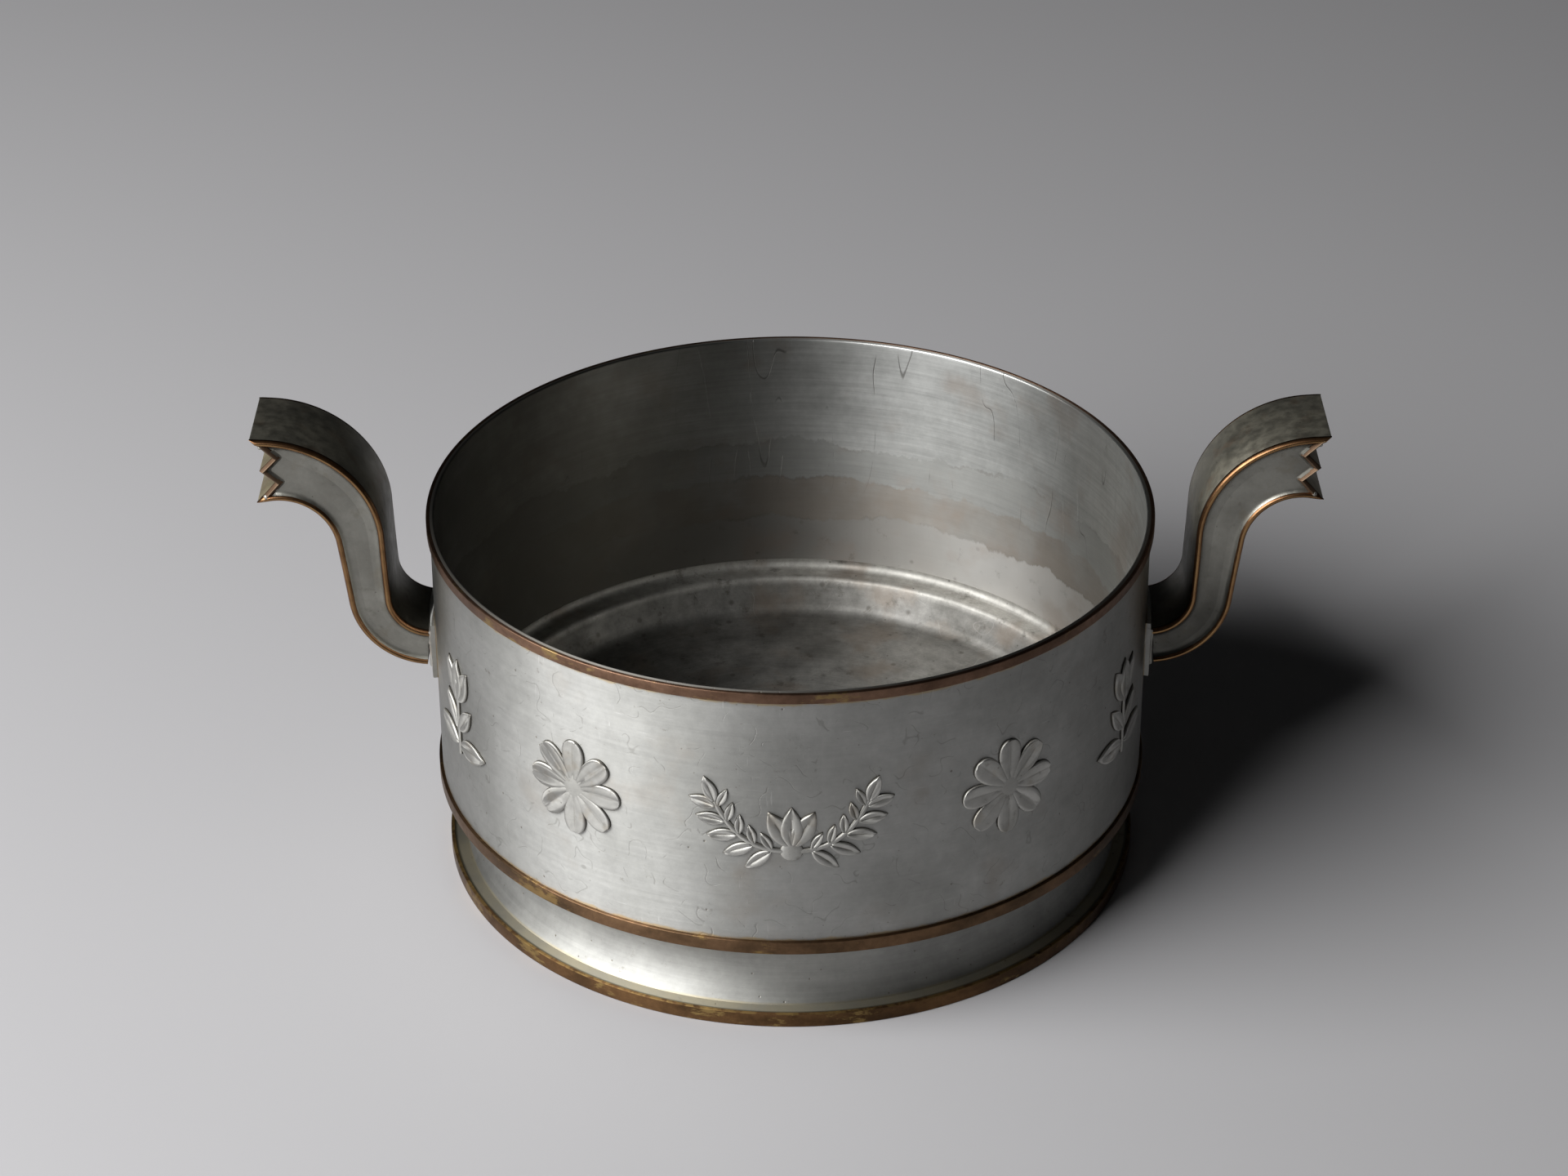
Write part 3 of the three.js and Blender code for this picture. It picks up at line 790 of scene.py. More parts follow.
fillet_cast = cast(
    "fillet_pewter",
    dark=tint(0.17, 0.165, 0.145),
    light=tint(0.24, 0.235, 0.21),
    brown=tint(0.2, 0.18, 0.14),
    shine=(0.6, 0.7),
    # painted shade on the right-hand handle
    right_tone=0.8,
)
worn_solder = cast(
    "worn_solder",
    dark=tint(0.36, 0.355, 0.32),
    light=tint(0.48, 0.47, 0.44),
    brown=tint(0.3, 0.26, 0.2),
    shine=(0.46, 0.58),
    # painted shade on the right-hand handle
    right_tone=0.8,
)
print("made", dark_cast.name, pale_cast.name, tip_cast.name, fillet_cast.name, worn_solder.name)

# %% [markdown]
# ### Reliefs
# The ornaments are cast too. Where a relief meets the wall, and in its grooves, it is darkened with dirt
# and painted shade. Both places are low, so the distance from the axis tells how dark a point of an
# ornament should be.

# %% Relief finish
def relief_finish():
    recipe, colour, specks, shine, grain = cast_metal(
        "relief_pewter",
        dark=tint(0.40, 0.395, 0.37),
        light=tint(0.48, 0.475, 0.45),
        brown=tint(0.34, 0.3, 0.24),
        shine=(0.46, 0.58),
    )
    raised = recipe.sum("SUBTRACT", recipe.away_from_axis(), wall_radius / mm)
    # Dirt and painted shade: the lower a point of a relief lies, the darker it is, nearly black where it
    # meets the wall.
    colour = recipe.blend(recipe.fade(raised, 0.55, 1.0, 0.55, 0.0), colour, tint(0.14, 0.125, 0.1))
    colour = recipe.blend(recipe.fade(raised, 0.25, 0.5, 0.9, 0.0), colour, tint(0.04, 0.035, 0.03))
    recipe.brush_round(0.6)
    return recipe.finish(colour, shine, recipe.plus(grain, specks, -2.0), 0.02)


relief_cast = relief_finish()
print("made", relief_cast.name)

# %% [markdown]
# ### Brass bands
# The bands are brass that went brown: a copper red on the rim, darker on the belt, and mottled with gold
# at the foot, where cloths and table tops rubbed it. The upper edges of the rim band and of the foot band
# are gold in places, which is partly rubbed brass and partly a painted highlight.

# %% Band finishes
def band_finish(name, dark, warm, gold, gold_share, shift, lip_height, lip_share):
    """Brown brass with golden patches. Above lip_height a share of the band's edge turns gold, as wear and
    as a painted highlight.
    """
    recipe = Recipe(name)
    patches = recipe.noise(recipe.stretched(1 / 30, 1 / 30, 1 / 14, shift), detail=4)
    speckle = clouds(recipe, 4, shift + 5)
    colour = recipe.blend(recipe.fade(patches, 0.35, 0.62), dark, warm)
    colour = recipe.shaded(colour, clouds(recipe, 3, shift + 17, detail=6, roughness=0.75), 1.0)
    colour = recipe.blend(recipe.fade(speckle, 0.5, 0.75, 0.0, 0.4), colour, dark)
    rubbed = recipe.noise(recipe.stretched(1 / 24, 1 / 24, 1 / 9, shift + 31), detail=6, roughness=0.7)
    to_left = recipe.fade(recipe.part("X"), 60, -60, -0.04, 0.02)
    rubbed = recipe.sum("ADD", rubbed, to_left)
    worn = recipe.fade(rubbed, 0.70 - gold_share, 0.78 - gold_share, 0.0, 0.85)
    colour = recipe.blend(worn, colour, gold)
    # Wear and a painted highlight: a share of the band's top edge turns gold in places.
    lip = recipe.fade(recipe.part("Z"), lip_height, lip_height + 0.3, 0.0, lip_share)
    colour = recipe.stain(colour, lip, recipe.fade(speckle, 0.4, 0.55), gold)
    shine = recipe.most(recipe.fade(speckle, 0.2, 0.8, 0.38, 0.5), recipe.times(lip, 1.1))
    recipe.brush_round(0.7)
    return recipe.finish(colour, shine, speckle, 0.01)


rim_brass = band_finish(
    "rim_brass",
    dark=tint(0.13, 0.076, 0.05),
    warm=tint(0.21, 0.125, 0.083),
    gold=tint(0.29, 0.2, 0.085),
    gold_share=0.13,
    shift=5,
    lip_height=rim_height / mm,
    lip_share=0.6,
)
belt_brass = band_finish(
    "belt_brass",
    dark=tint(0.09, 0.055, 0.03),
    warm=tint(0.17, 0.1, 0.055),
    gold=tint(0.29, 0.19, 0.075),
    gold_share=0.13,
    shift=50,
    lip_height=belt_high.z / mm,
    lip_share=0.0,
)
foot_brass = band_finish(
    "foot_brass",
    dark=tint(0.08, 0.045, 0.022),
    warm=tint(0.16, 0.088, 0.04),
    gold=tint(0.31, 0.21, 0.08),
    gold_share=0.15,
    shift=90,
    lip_height=foot_band_high.z / mm - 0.5,
    lip_share=0.6,
)
print("made", rim_brass.name, belt_brass.name, foot_brass.name)

# %% [markdown]
# ### Brass edging
# Hands polished the long beads of the handles, so their crests are smooth and golden, and the gold on the
# crests is also a painted highlight. Their sides are a warm brown, and their feet are darkened with dirt
# and painted shade where they meet the panel. The zigzag along the teeth was touched less and stays dull.
# How far a point stands out from the handle's side tells how near the crest it is.

# %% Edging finishes
def edging_finish(name, dark, light, gold, foot_darkening_reach, crest_shine, side_shine):
    """Dark at the foot of the bead, with dirt and painted shade, brown on its sides and golden on its
    crest, partly as a painted highlight.
    """
    recipe = Recipe(name)
    out = recipe.sum("SUBTRACT", recipe.sum("ABSOLUTE", recipe.part("X")), wall_radius / mm)
    widening = recipe.plus(1.0, out, handle_growth * mm)
    aside = recipe.sum("DIVIDE", recipe.sum("ABSOLUTE", recipe.part("Y")), widening)
    lift = recipe.sum("SUBTRACT", aside, body_half_width / mm)
    bead_top = bead_height / mm
    crest = recipe.fade(lift, 0.86 * bead_top, bead_top)
    haze = clouds(recipe, 6, shift=5)
    colour = mottled(recipe, haze, dark, light)
    worn = recipe.fade(clouds(recipe, 16, shift=33), 0.35, 0.65, 0.3, 0.9)
    # Polish and a painted highlight: the crest of each bead turns gold.
    colour = recipe.stain(colour, crest, worn, gold)
    # Dirt and painted shade: the foot of the bead, where it meets the panel, is darkened nearly to black.
    dirt_and_shade = recipe.fade(lift, 0.4 * foot_darkening_reach * bead_top, foot_darkening_reach * bead_top, 0.9, 0.0)
    colour = recipe.blend(dirt_and_shade, colour, tint(0.04, 0.025, 0.017))
    freckles = recipe.fade(clouds(recipe, 2.5, shift=9), 0.6, 0.75, 0.0, 0.4)
    colour = recipe.blend(freckles, colour, tint(0.1, 0.055, 0.03))
    shine = recipe.fade(crest, 0.0, 1.0, side_shine, crest_shine)
    return recipe.finish(colour, shine, haze, 0.01)


edging_brass = edging_finish(
    "edging_brass",
    dark=tint(0.155, 0.078, 0.038),
    light=tint(0.235, 0.125, 0.06),
    gold=tint(0.33, 0.2, 0.09),
    foot_darkening_reach=0.4,
    crest_shine=0.26,
    side_shine=0.34,
)
zigzag_brass = edging_finish(
    "zigzag_brass",
    dark=tint(0.125, 0.08, 0.052),
    light=tint(0.18, 0.118, 0.078),
    gold=tint(0.22, 0.16, 0.11),
    foot_darkening_reach=0.3,
    crest_shine=0.64,
    side_shine=0.7,
)
print("made", edging_brass.name, zigzag_brass.name, "and so", len(bpy.data.materials), "materials in all")

# %% [markdown]
# ## Turned pieces
# A spinner makes a ring by pressing sheet against a turning form. In Blender the same idea is a
# profile that turns round Z. Each profile is a list of corners with a radius for each, because no
# real edge is sharp: even half a millimetre of rounding catches a line of light. A piece that is
# soldered on reaches under its neighbour's skin by a hair, the seam, so that no gap shows.

# %% Profile helpers
turn_steps = 288
calm_reach = 8 * mm
seam = 0.05 * mm


def rounded(corners, steps=5):
    """Points of a closed profile of (radius, height, rounding) corners."""
    points = []
    for i, (r, z, rounding) in enumerate(corners):
        corner = Vector((r, z))
        if rounding == 0:
            points.append(tuple(corner))
            continue
        before = (Vector(corners[i - 1][:2]) - corner).normalized()
        after = (Vector(corners[(i + 1) % len(corners)][:2]) - corner).normalized()
        half = before.angle(after) / 2
        reach = rounding / math.tan(half)
        middle = corner + (before + after).normalized() * (rounding / math.sin(half))
        start = corner + before * reach - middle
        end = corner + after * reach - middle
        for k in range(steps + 1):
            points.append(tuple(middle + start.slerp(end, k / steps) * rounding))
    return points


def turned(profile):
    """A closed profile of (radius, height) points turned round the Z axis."""
    outline = np.array(profile, float)
    angles = np.arange(turn_steps) * 2 * math.pi / turn_steps
    sections = np.empty((turn_steps, len(outline), 3))
    sections[:, :, 0] = np.cos(angles)[:, None] * outline[None, :, 0]
    sections[:, :, 1] = np.sin(angles)[:, None] * outline[None, :, 0]
    sections[:, :, 2] = outline[None, :, 1]
    return loft(sections, closed_path=True)


def waves(angle, height):
    """The slow unevenness of hand-worked sheet, from -1 to 1. It closes on itself round the wall."""
    slow = np.sin(3 * angle + 0.7) * np.cos(height / (70 * mm) + 1.1)
    middle = np.sin(7 * angle + 2.0 + height / (45 * mm))
    quick = np.sin(16 * angle - height / (23 * mm)) * np.cos(5 * angle + height / (31 * mm))
    return 0.45 * slow + 0.3 * middle + 0.25 * quick


def worked(shell, depth, low, high):
    """Pushes a turned shell in and out between two heights. It grows calm within calm_reach of them."""
    vertices, faces = shell
    angle = np.arctan2(vertices[:, 1], vertices[:, 0])
    height = vertices[:, 2]
    fade = np.clip(np.minimum(height - low, high - height) / calm_reach, 0, 1)
    radius = np.maximum(np.hypot(vertices[:, 0], vertices[:, 1]), mm)
    stretch = 1 + depth * fade * waves(angle, height) / radius
    vertices = vertices.copy()
    vertices[:, :2] *= stretch[:, None]
    return vertices, faces


print("a turned piece has", turn_steps, "sections")

# %% Vessel wall
sheet_unevenness = 0.09 * mm
wall_rows = np.linspace(seat_height + 2 * mm, rim_height - 2 * mm, 26)
wall_profile = rounded([
    (wall_inner_radius, seat_height, 0.3 * mm),
    (wall_radius, seat_height, 0.3 * mm),
    *[(wall_radius, z, 0) for z in wall_rows],
    (wall_radius, rim_height, 0.55 * mm),
    (wall_inner_radius, rim_height, 0.75 * mm),
    *[(wall_inner_radius, z, 0) for z in wall_rows[::-1]],
])
middle_radius = (wall_radius + wall_inner_radius) / 2


def wall_side(middle, normal):
    """0 for the outside of the wall and its top edge, 1 for the inside."""
    outward = normal.x * middle.x + normal.y * middle.y
    return 1 if outward < 0 and math.hypot(middle.x, middle.y) < middle_radius else 0


add_piece(
    "tureen_wall",
    worked(turned(wall_profile), sheet_unevenness, belt_high.z, rim_low.z),
    [satin_pewter, stained_pewter],
    ["vessel_wall"],
    wall_side,
)

# %% [markdown]
# The pan was spun as one dish: a shelf that is soldered to the wall, a sloping side and a flat
# floor. Solder fills the corner between shelf and wall, so the profile climbs the wall a little.

# %% Vessel pan
solder_climb = 4.2 * mm
pan_edge = wall_inner_radius - 0.02 * mm
pan_outer_corner = neck_radius - neck_thickness - well_clearance
pan_slant = pan_thickness / math.cos(well_slope)
pan_bottom = floor_height - pan_thickness


def slope_radius(height, inset):
    return pan_outer_corner - inset + (height - pan_bottom) * math.tan(well_slope)


floor_rings = np.linspace(0, pan_outer_corner - 12 * mm, 24)
pan_profile = rounded([
    *[(r, pan_bottom, 0) for r in floor_rings],
    (slope_radius(pan_bottom, 0), pan_bottom, well_fillet + pan_thickness),
    (slope_radius(seat_height, 0), seat_height, 0),
    (pan_edge, seat_height, 0.2 * mm),
    (pan_edge, shelf_height + solder_climb, 0),
    (pan_edge - 0.25 * mm, shelf_height + solder_climb, 0),
    (pan_edge - 0.4 * mm, shelf_height, solder_climb * 0.9),
    (slope_radius(shelf_height, pan_slant), shelf_height, shelf_fillet),
    (slope_radius(floor_height, pan_slant), floor_height, well_fillet),
    *[(r, floor_height, 0) for r in floor_rings[::-1]],
], steps=9)
add_piece("tureen_pan", turned(pan_profile), [well_pewter], ["vessel_pan"])

# %% [markdown]
# The foot is spun too: a collar under the wall, a cove that runs in to the neck, a flare that runs
# out again, and a flat ledge. The cove and the flare are arcs that meet at the neck.

# %% Foot ring
def arc(centre_r, centre_z, radius, start, end, steps):
    angles = np.linspace(start, end, steps + 1)
    return [(centre_r + radius * math.cos(a), centre_z + radius * math.sin(a), 0) for a in angles]


collar_radius = wall_radius - collar_step
cove_height = belt_bottom - neck_height
cove_depth = collar_radius - neck_radius
cove_radius = (cove_depth ** 2 + cove_height ** 2) / (2 * cove_depth)
cove_sweep = math.acos((cove_radius - cove_depth) / cove_radius)
flare_height = neck_height - ledge_height
flare_radius = (flare_depth ** 2 + flare_height ** 2) / (2 * flare_depth)
flare_sweep = math.asin(flare_height / flare_radius)
seat_inner_radius = wall_radius - collar_seat_width
inner_cove_radius = cove_radius + neck_thickness
inner_flare_radius = flare_radius + neck_thickness
inner_cove_sweep = math.acos((neck_radius + cove_radius - seat_inner_radius) / inner_cove_radius)
inner_flare_sweep = math.asin(flare_height / inner_flare_radius)
cove_centre = neck_radius + cove_radius
flare_centre = neck_radius + flare_radius
outside = (
    arc(flare_centre, neck_height, flare_radius, math.pi + flare_sweep, math.pi, 18)
    + arc(cove_centre, neck_height, cove_radius, math.pi, math.pi - cove_sweep, 18)[1:]
)
inside = (
    arc(cove_centre, neck_height, inner_cove_radius, math.pi - inner_cove_sweep, math.pi, 14)
    + arc(flare_centre, neck_height, inner_flare_radius, math.pi, math.pi + inner_flare_sweep, 12)[1:]
)
foot_profile = rounded([
    (inside[-1][0], 0, 0),
    (foot_radius, 0, 0.3 * mm),
    (foot_radius, ledge_height, 0.35 * mm),
    *outside,
    (wall_radius, belt_bottom, 0.4 * mm),
    (wall_radius, seat_height, 0),
    (seat_inner_radius, seat_height, 0),
    *inside,
])
add_piece("tureen_foot", turned(foot_profile), [foot_pewter], ["foot_ring"])

# %% [markdown]
# Each band is a strip of brass soldered round the pewter. Its inner side touches the pewter, so no
# gap shows, and its outer edges are eased with a file.

# %% Brass bands
def band(name, node, inner_radius, finish):
    low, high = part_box(node)
    profile = rounded([
        (inner_radius, low.z, 0.1 * mm),
        (high.x, low.z, 0.4 * mm),
        (high.x, high.z, 0.45 * mm),
        (inner_radius, high.z, 0.15 * mm),
    ])
    return add_piece(name, turned(profile), [finish], [node])


band("rim_strip", "rim_band", wall_radius - seam, rim_brass)
band("belt_strip", "belt_band", wall_radius - seam, belt_brass)
band("foot_strip", "foot_band", foot_radius - seam, foot_brass)

# %% [markdown]
# ## Handles
# Each handle is one casting, cut off square at the wall and toothed at the tip. Seen from the front
# it is an S: level at the wall, up, and out again, growing thicker all the way. We walk along its
# middle line in small steps, as a turtle would, and keep the heading and the thickness at each.

# %% Handle line
handle_height = 106.1 * mm
lower_bend_radius = 27 * mm
lower_bend_sweep = math.radians(85.4)
stem_length = 30.7 * mm
upper_bend_radius = 38 * mm
upper_bend_sweep = math.radians(87.9)
tip_length = 4.8 * mm
root_thickness = 17.5 * mm
tip_thickness = 31.1 * mm
edging_width = 3 * mm
zigzag_width = 3.6 * mm
notch_depth = 9 * mm
middle_point_setback = 2.8 * mm
notch_spacing = 12 * mm
walk_step = 1.2 * mm


def walk_handle():
    """Places, headings and half thicknesses along the handle's middle line, as numpy arrays."""
    runs = (
        (lower_bend_radius * lower_bend_sweep, lower_bend_sweep),
        (stem_length, 0),
        (upper_bend_radius * upper_bend_sweep, -upper_bend_sweep),
        (tip_length, 0),
    )
    total = sum(length for length, turn in runs)
    x, z, heading, travelled = wall_radius, handle_height, 0.0, 0.0
    rows = [(x, z, heading, travelled)]
    for length, turn in runs:
        steps = max(4, round(length / walk_step))
        for _ in range(steps):
            angle = turn / steps
            stride = length / steps
            chord = stride if angle == 0 else 2 * stride * math.sin(angle / 2) / angle
            x += chord * math.cos(heading + angle / 2)
            z += chord * math.sin(heading + angle / 2)
            heading += angle
            travelled += stride
            rows.append((x, z, heading, travelled))
    rows = np.array(rows)
    share = rows[:, 3] / total
    half = (root_thickness + (tip_thickness - root_thickness) * share ** 2) / 2
    return rows[:, :2], rows[:, 2], rows[:, 3], half


places, headings, travelled, half_thickness = walk_handle()
upward = np.stack([-np.sin(headings), np.cos(headings)], axis=1)
along = np.stack([np.cos(headings), np.sin(headings)], axis=1)


def handle_line(side, inset):
    """The upper (side 1) or lower (side -1) line of the handle, drawn in by an inset."""
    return places + side * (half_thickness - inset)[:, None] * upward


def tip_point(back, rise):
    return places[-1] - back * along[-1] + rise * upward[-1]


teeth = np.array([
    handle_line(1, 0)[-1],
    tip_point(notch_depth, notch_spacing / 2),
    tip_point(middle_point_setback, 0),
    tip_point(notch_depth, -notch_spacing / 2),
    handle_line(-1, 0)[-1],
])
print("the handle's middle line is", round(travelled[-1] / mm, 1), "mm long and reaches",
      round((places[-1, 0] - wall_radius) / mm, 1), "mm out from the wall")

# %% [markdown]
# The body is the outline pulled from front to back. Its long faces are single big faces, and a
# small bevel rounds every edge. The body starts a little inside the plate, where solder hides it.
# A bevel may list its faces in another order on another run, so we sort them.

# %% Handle body
root_start = int(np.argmax(places[:, 0] > plate_radius - 1.0 * mm))
edge_round = 0.35 * mm


def handle_body_shell():
    upper = handle_line(1, 0)[root_start:]
    lower = handle_line(-1, 0)[root_start:]
    outline = np.concatenate([upper, teeth[1:-1], lower[::-1]])
    work = bmesh.new()
    bottom = [work.verts.new((x, -body_half_width, z)) for x, z in outline]
    side = work.faces.new(bottom)
    pulled = bmesh.ops.extrude_face_region(work, geom=[side])
    moved = [item for item in pulled["geom"] if isinstance(item, bmesh.types.BMVert)]
    bmesh.ops.translate(work, verts=moved, vec=(0, 2 * body_half_width, 0))
    bmesh.ops.recalc_face_normals(work, faces=work.faces)
    bends = [edge for edge in work.edges if edge.calc_face_angle(0) > math.radians(20)]
    bmesh.ops.bevel(work, geom=bends, offset=edge_round, segments=2, profile=0.5, affect="EDGES")
    mesh = bpy.data.meshes.new("handle_body_draft")
    work.to_mesh(mesh)
    work.free()
    vertices = np.array([vertex.co for vertex in mesh.vertices])
    faces = []
    for polygon in mesh.polygons:
        corners = list(polygon.vertices)
        first = corners.index(min(corners))
        faces.append(tuple(corners[first:] + corners[:first]))
    bpy.data.meshes.remove(mesh)
    return vertices, sorted(faces)


body_shell = handle_body_shell()
print("handle body draft:", len(body_shell[1]), "faces")

# %% [markdown]
# The side panel lies lower than the edging. It is dished: it rises slowly from its middle, and then
# steeply in a narrow fillet of solder at the wire. The fillet wanders a little, because it was
# scraped by hand. With light from the left, a fillet that faces left shines and one that faces
# right is dark, so one shape gives both handles their look. A fixed seed makes the same wandering
# on every run.

# %% Fillets
chance = np.random.default_rng(12)
tooth_slope = np.dot(teeth[0] - teeth[1], upward[-1]) / notch_depth
dish_rise = 0.6 * mm
dish_share = 0.45
fillet_width = 2.0 * mm
fillet_tuck = 0.45 * mm
fillet_sunk = 0.06 * mm
thinnest_dish = 0.3 * mm


def wandering(count, low, high, window=5):
    """A row of numbers that wander slowly between low and high."""
    raw = chance.random(count + window)
    slow = np.convolve(raw, np.ones(window) / window, mode="valid")[:count]
    slow = (slow - slow.min()) / max(np.ptp(slow), 1e-9)
    return low + (high - low) * slow


def fillet(corner, across, up, widths, dish, heights):
    """A dish and a fillet along a row of corner points. They start a little under the bead, and their
    points lie closer together there."""
    shares = np.linspace(0, 1, 12) ** 1.7
    rows = []
    for point, side, rise, width, height in zip(corner, across, up, widths, heights):
        start = point - side * fillet_tuck - rise * fillet_sunk
        section = [start]
        for share in shares:
            near = max(1 - share * width / fillet_width, 0.0)
            lift = dish * (1 - share) ** 2 + height * near ** 2
            section.append(start + side * width * share + rise * lift)
        rows.append(section)
    return loft(rows)


def on_side(points, depth):
    """Handle points [x, z] as 3D points at a depth from the middle plane, on the front side."""
    points = np.asarray(points)
    return np.stack([points[:, 0], np.full(len(points), -depth), points[:, 1]], axis=1)


def flat(directions):
    """Directions [x, z] as 3D directions without depth."""
    directions = np.asarray(directions)
    return np.stack([directions[:, 0], np.zeros(len(directions)), directions[:, 1]], axis=1)


def long_fillet(side):
    """The dish and the fillet beside the upper (side 1) or lower (side -1) bead."""
    rows = slice(root_start, len(places) - 3)
    line = handle_line(side, edging_width)[rows]
    count = len(line)
    across = flat(-side * upward[rows])
    outward = np.tile((0.0, -1.0, 0.0), (count, 1))
    widths = 2 * dish_share * (half_thickness[rows] - edging_width)
    before_bar = travelled[-1] - travelled[rows] - zigzag_width
    beside_teeth = np.maximum(before_bar * tooth_slope - edging_width, thinnest_dish)
    return fillet(on_side(line, body_half_width), across, outward,
                  np.minimum(widths, beside_teeth), dish_rise, wandering(count, 0.75 * mm, 1.0 * mm, 9))


def zigzag_fillet():
    """The fillet behind the zigzag, a little short of its ends. Its corners are cut round, as a
    scraper would leave them."""
    corners = teeth - zigzag_width * along[-1]
    rows = []
    for start, end in zip(corners[:-1], corners[1:]):
        rows += [start + (end - start) * share for share in np.linspace(0, 1, 9)[:-1]]
    rows.append(corners[-1])
    rows = np.array(rows)[5:-5]
    eased = rows.copy()
    eased[1:-1] = (rows[:-2] + 2 * rows[1:-1] + rows[2:]) / 4
    count = len(eased)
    across = flat(np.tile(-along[-1], (count, 1)))
    outward = np.tile((0.0, -1.0, 0.0), (count, 1))
    return fillet(on_side(eased, body_half_width), across, outward,
                  wandering(count, 1.6 * mm, 2.2 * mm, 4), 0.0, wandering(count, 0.9 * mm, 1.4 * mm, 4))


print("the panels are dished by", round(dish_rise / mm, 1), "mm")

# %% [markdown]
# The edging is half-round brass wire, three millimetres wide. Near the tip the tooth gets narrower
# than the wire, so the wire is filed down to a point there. Between the two wires a bar with a ridge
# like a roof follows the teeth.

# %% Edging
bead_points = 15
bead_sunk = 0.1 * mm
thinnest_bead = 0.25 * mm
zigzag_start = 0.16
zigzag_roof = ((0.0, 0.0), (0.03, 0.3), (0.4, 0.95), (0.47, 1.0), (0.55, 0.95), (0.97, 0.3), (1.0, 0.0))


def bead(side):
    """The long half-round bead on the upper (side 1) or lower (side -1) edge."""
    sections = []
    before_tip = travelled[-1] - travelled
    for k in range(root_start, len(places)):
        width = min(edging_width, max(before_tip[k] * tooth_slope, thinnest_bead))
        height = bead_height * math.sqrt(width / edging_width)
        arch = []
        for angle in np.linspace(0, math.pi, bead_points):
            inset = width * (1 - math.cos(angle)) / 2
            lift = height * math.sin(angle)
            x, z = places[k] + side * (half_thickness[k] - inset) * upward[k]
            arch.append((x, -body_half_width - lift, z))
        x, z = places[k] + side * (half_thickness[k] - width) * upward[k]
        arch.append((x, -body_half_width + bead_sunk, z))
        x, z = places[k] + side * half_thickness[k] * upward[k]
        arch.append((x, -body_half_width + bead_sunk, z))
        sections.append(arch)
    return loft(sections)


def zigzag_bar():
    """The roof-shaped bar along the teeth: each corner has one mitred section."""
    first = teeth[0] + (teeth[1] - teeth[0]) * zigzag_start
    last = teeth[-1] + (teeth[-2] - teeth[-1]) * zigzag_start
    path = np.array([first, *teeth[1:-1], last])
    sections = []
    for corner in path:
        arch = []
        for back, lift in zigzag_roof:
            x, z = corner - along[-1] * zigzag_width * back
            arch.append((x, -body_half_width - bead_height * lift, z))
        x, z = corner - along[-1] * zigzag_width
        arch.append((x, -body_half_width + bead_sunk, z))
        x, z = corner
        arch.append((x, -body_half_width + bead_sunk, z))
        sections.append(arch)
    return loft(sections)


print("the beads are", round(bead_height / mm, 1), "mm high and", round(edging_width / mm, 1), "mm wide")

# %% [markdown]
# A handle's front side, back side, left copy and right copy are the same shapes turned over. A
# point is mirrored by changing the sign of X or Y, which also turns its faces inside out, but
# add_piece makes all normals point outwards again.

# %% Turning a part over, and making it wider
def mirrored(shell, x_sign, y_sign):
    vertices, faces = shell
    return vertices * np.array((x_sign, y_sign, 1.0)), faces


def widened(shell):
    """A part of the right handle made evenly wider from the wall out to the tip."""
    vertices, faces = shell
    vertices = vertices.copy()
    vertices[:, 1] *= 1 + handle_growth * (vertices[:, 0] - wall_radius)
    return vertices, faces


def panel_tip_or_top(middle, normal):
    """1 for the pale side panels, 2 for the worn faces between the teeth, 0 for the dark rest."""
    if abs(normal.y) > 0.9:
        return 1
    tooth_start = places[-1, 0] - notch_depth - 1 * mm
    return 2 if abs(normal.x) > 0.4 and abs(middle.x) > tooth_start else 0


print("a handle is", round(2 * handle_half_width / mm, 1), "mm wide at the wall and",
      round(2 * handle_tip_half_width / mm, 1), "mm at the tip")

# %% [markdown]
# The handles are soldered together and soldered on. A drop of solder is a small ball, pushed in and
# out by slow waves. The solder round a root is a row of small arches that follows the root's four
# sides, each with a wandering width and height.

# %% Solder
solder_lift = 1.3 * mm
solder_arch = ((-0.3, -0.3), (-0.3, 1.0), (0.2, 0.45), (0.5, 0.14), (1.0, -0.3))


def blob(place, size, squash=(1, 1, 1)):
    """A small lump of solder, a little uneven."""
    work = bmesh.new()
    bmesh.ops.create_icosphere(work, subdivisions=3, radius=1.0)
    centre = np.array(place)
    phase = chance.random(3) * 6
    vertices = []
    for vertex in work.verts:
        way = np.array(vertex.co)
        bulge = 1 + 0.12 * math.sin(4 * way[0] + phase[0]) * math.cos(3 * way[1] + phase[1])
        vertices.append(centre + way * bulge * size * np.array(squash))
    faces = [tuple(vertex.index for vertex in face.verts) for face in work.faces]
    work.free()
    return np.array(vertices), faces


def tip_blobs():
    """Solder drops near the points of the two outer teeth."""
    spots = [
        (teeth[0] * 0.62 + teeth[1] * 0.38 - along[-1] * 1.2 * mm, 1.0 * mm),
        (teeth[4] * 0.68 + teeth[3] * 0.32 - along[-1] * 1.6 * mm, 1.1 * mm),
    ]
    return [blob((x, -body_half_width - solder_lift, z), size, (1, 0.8, 1)) for (x, z), size in spots]


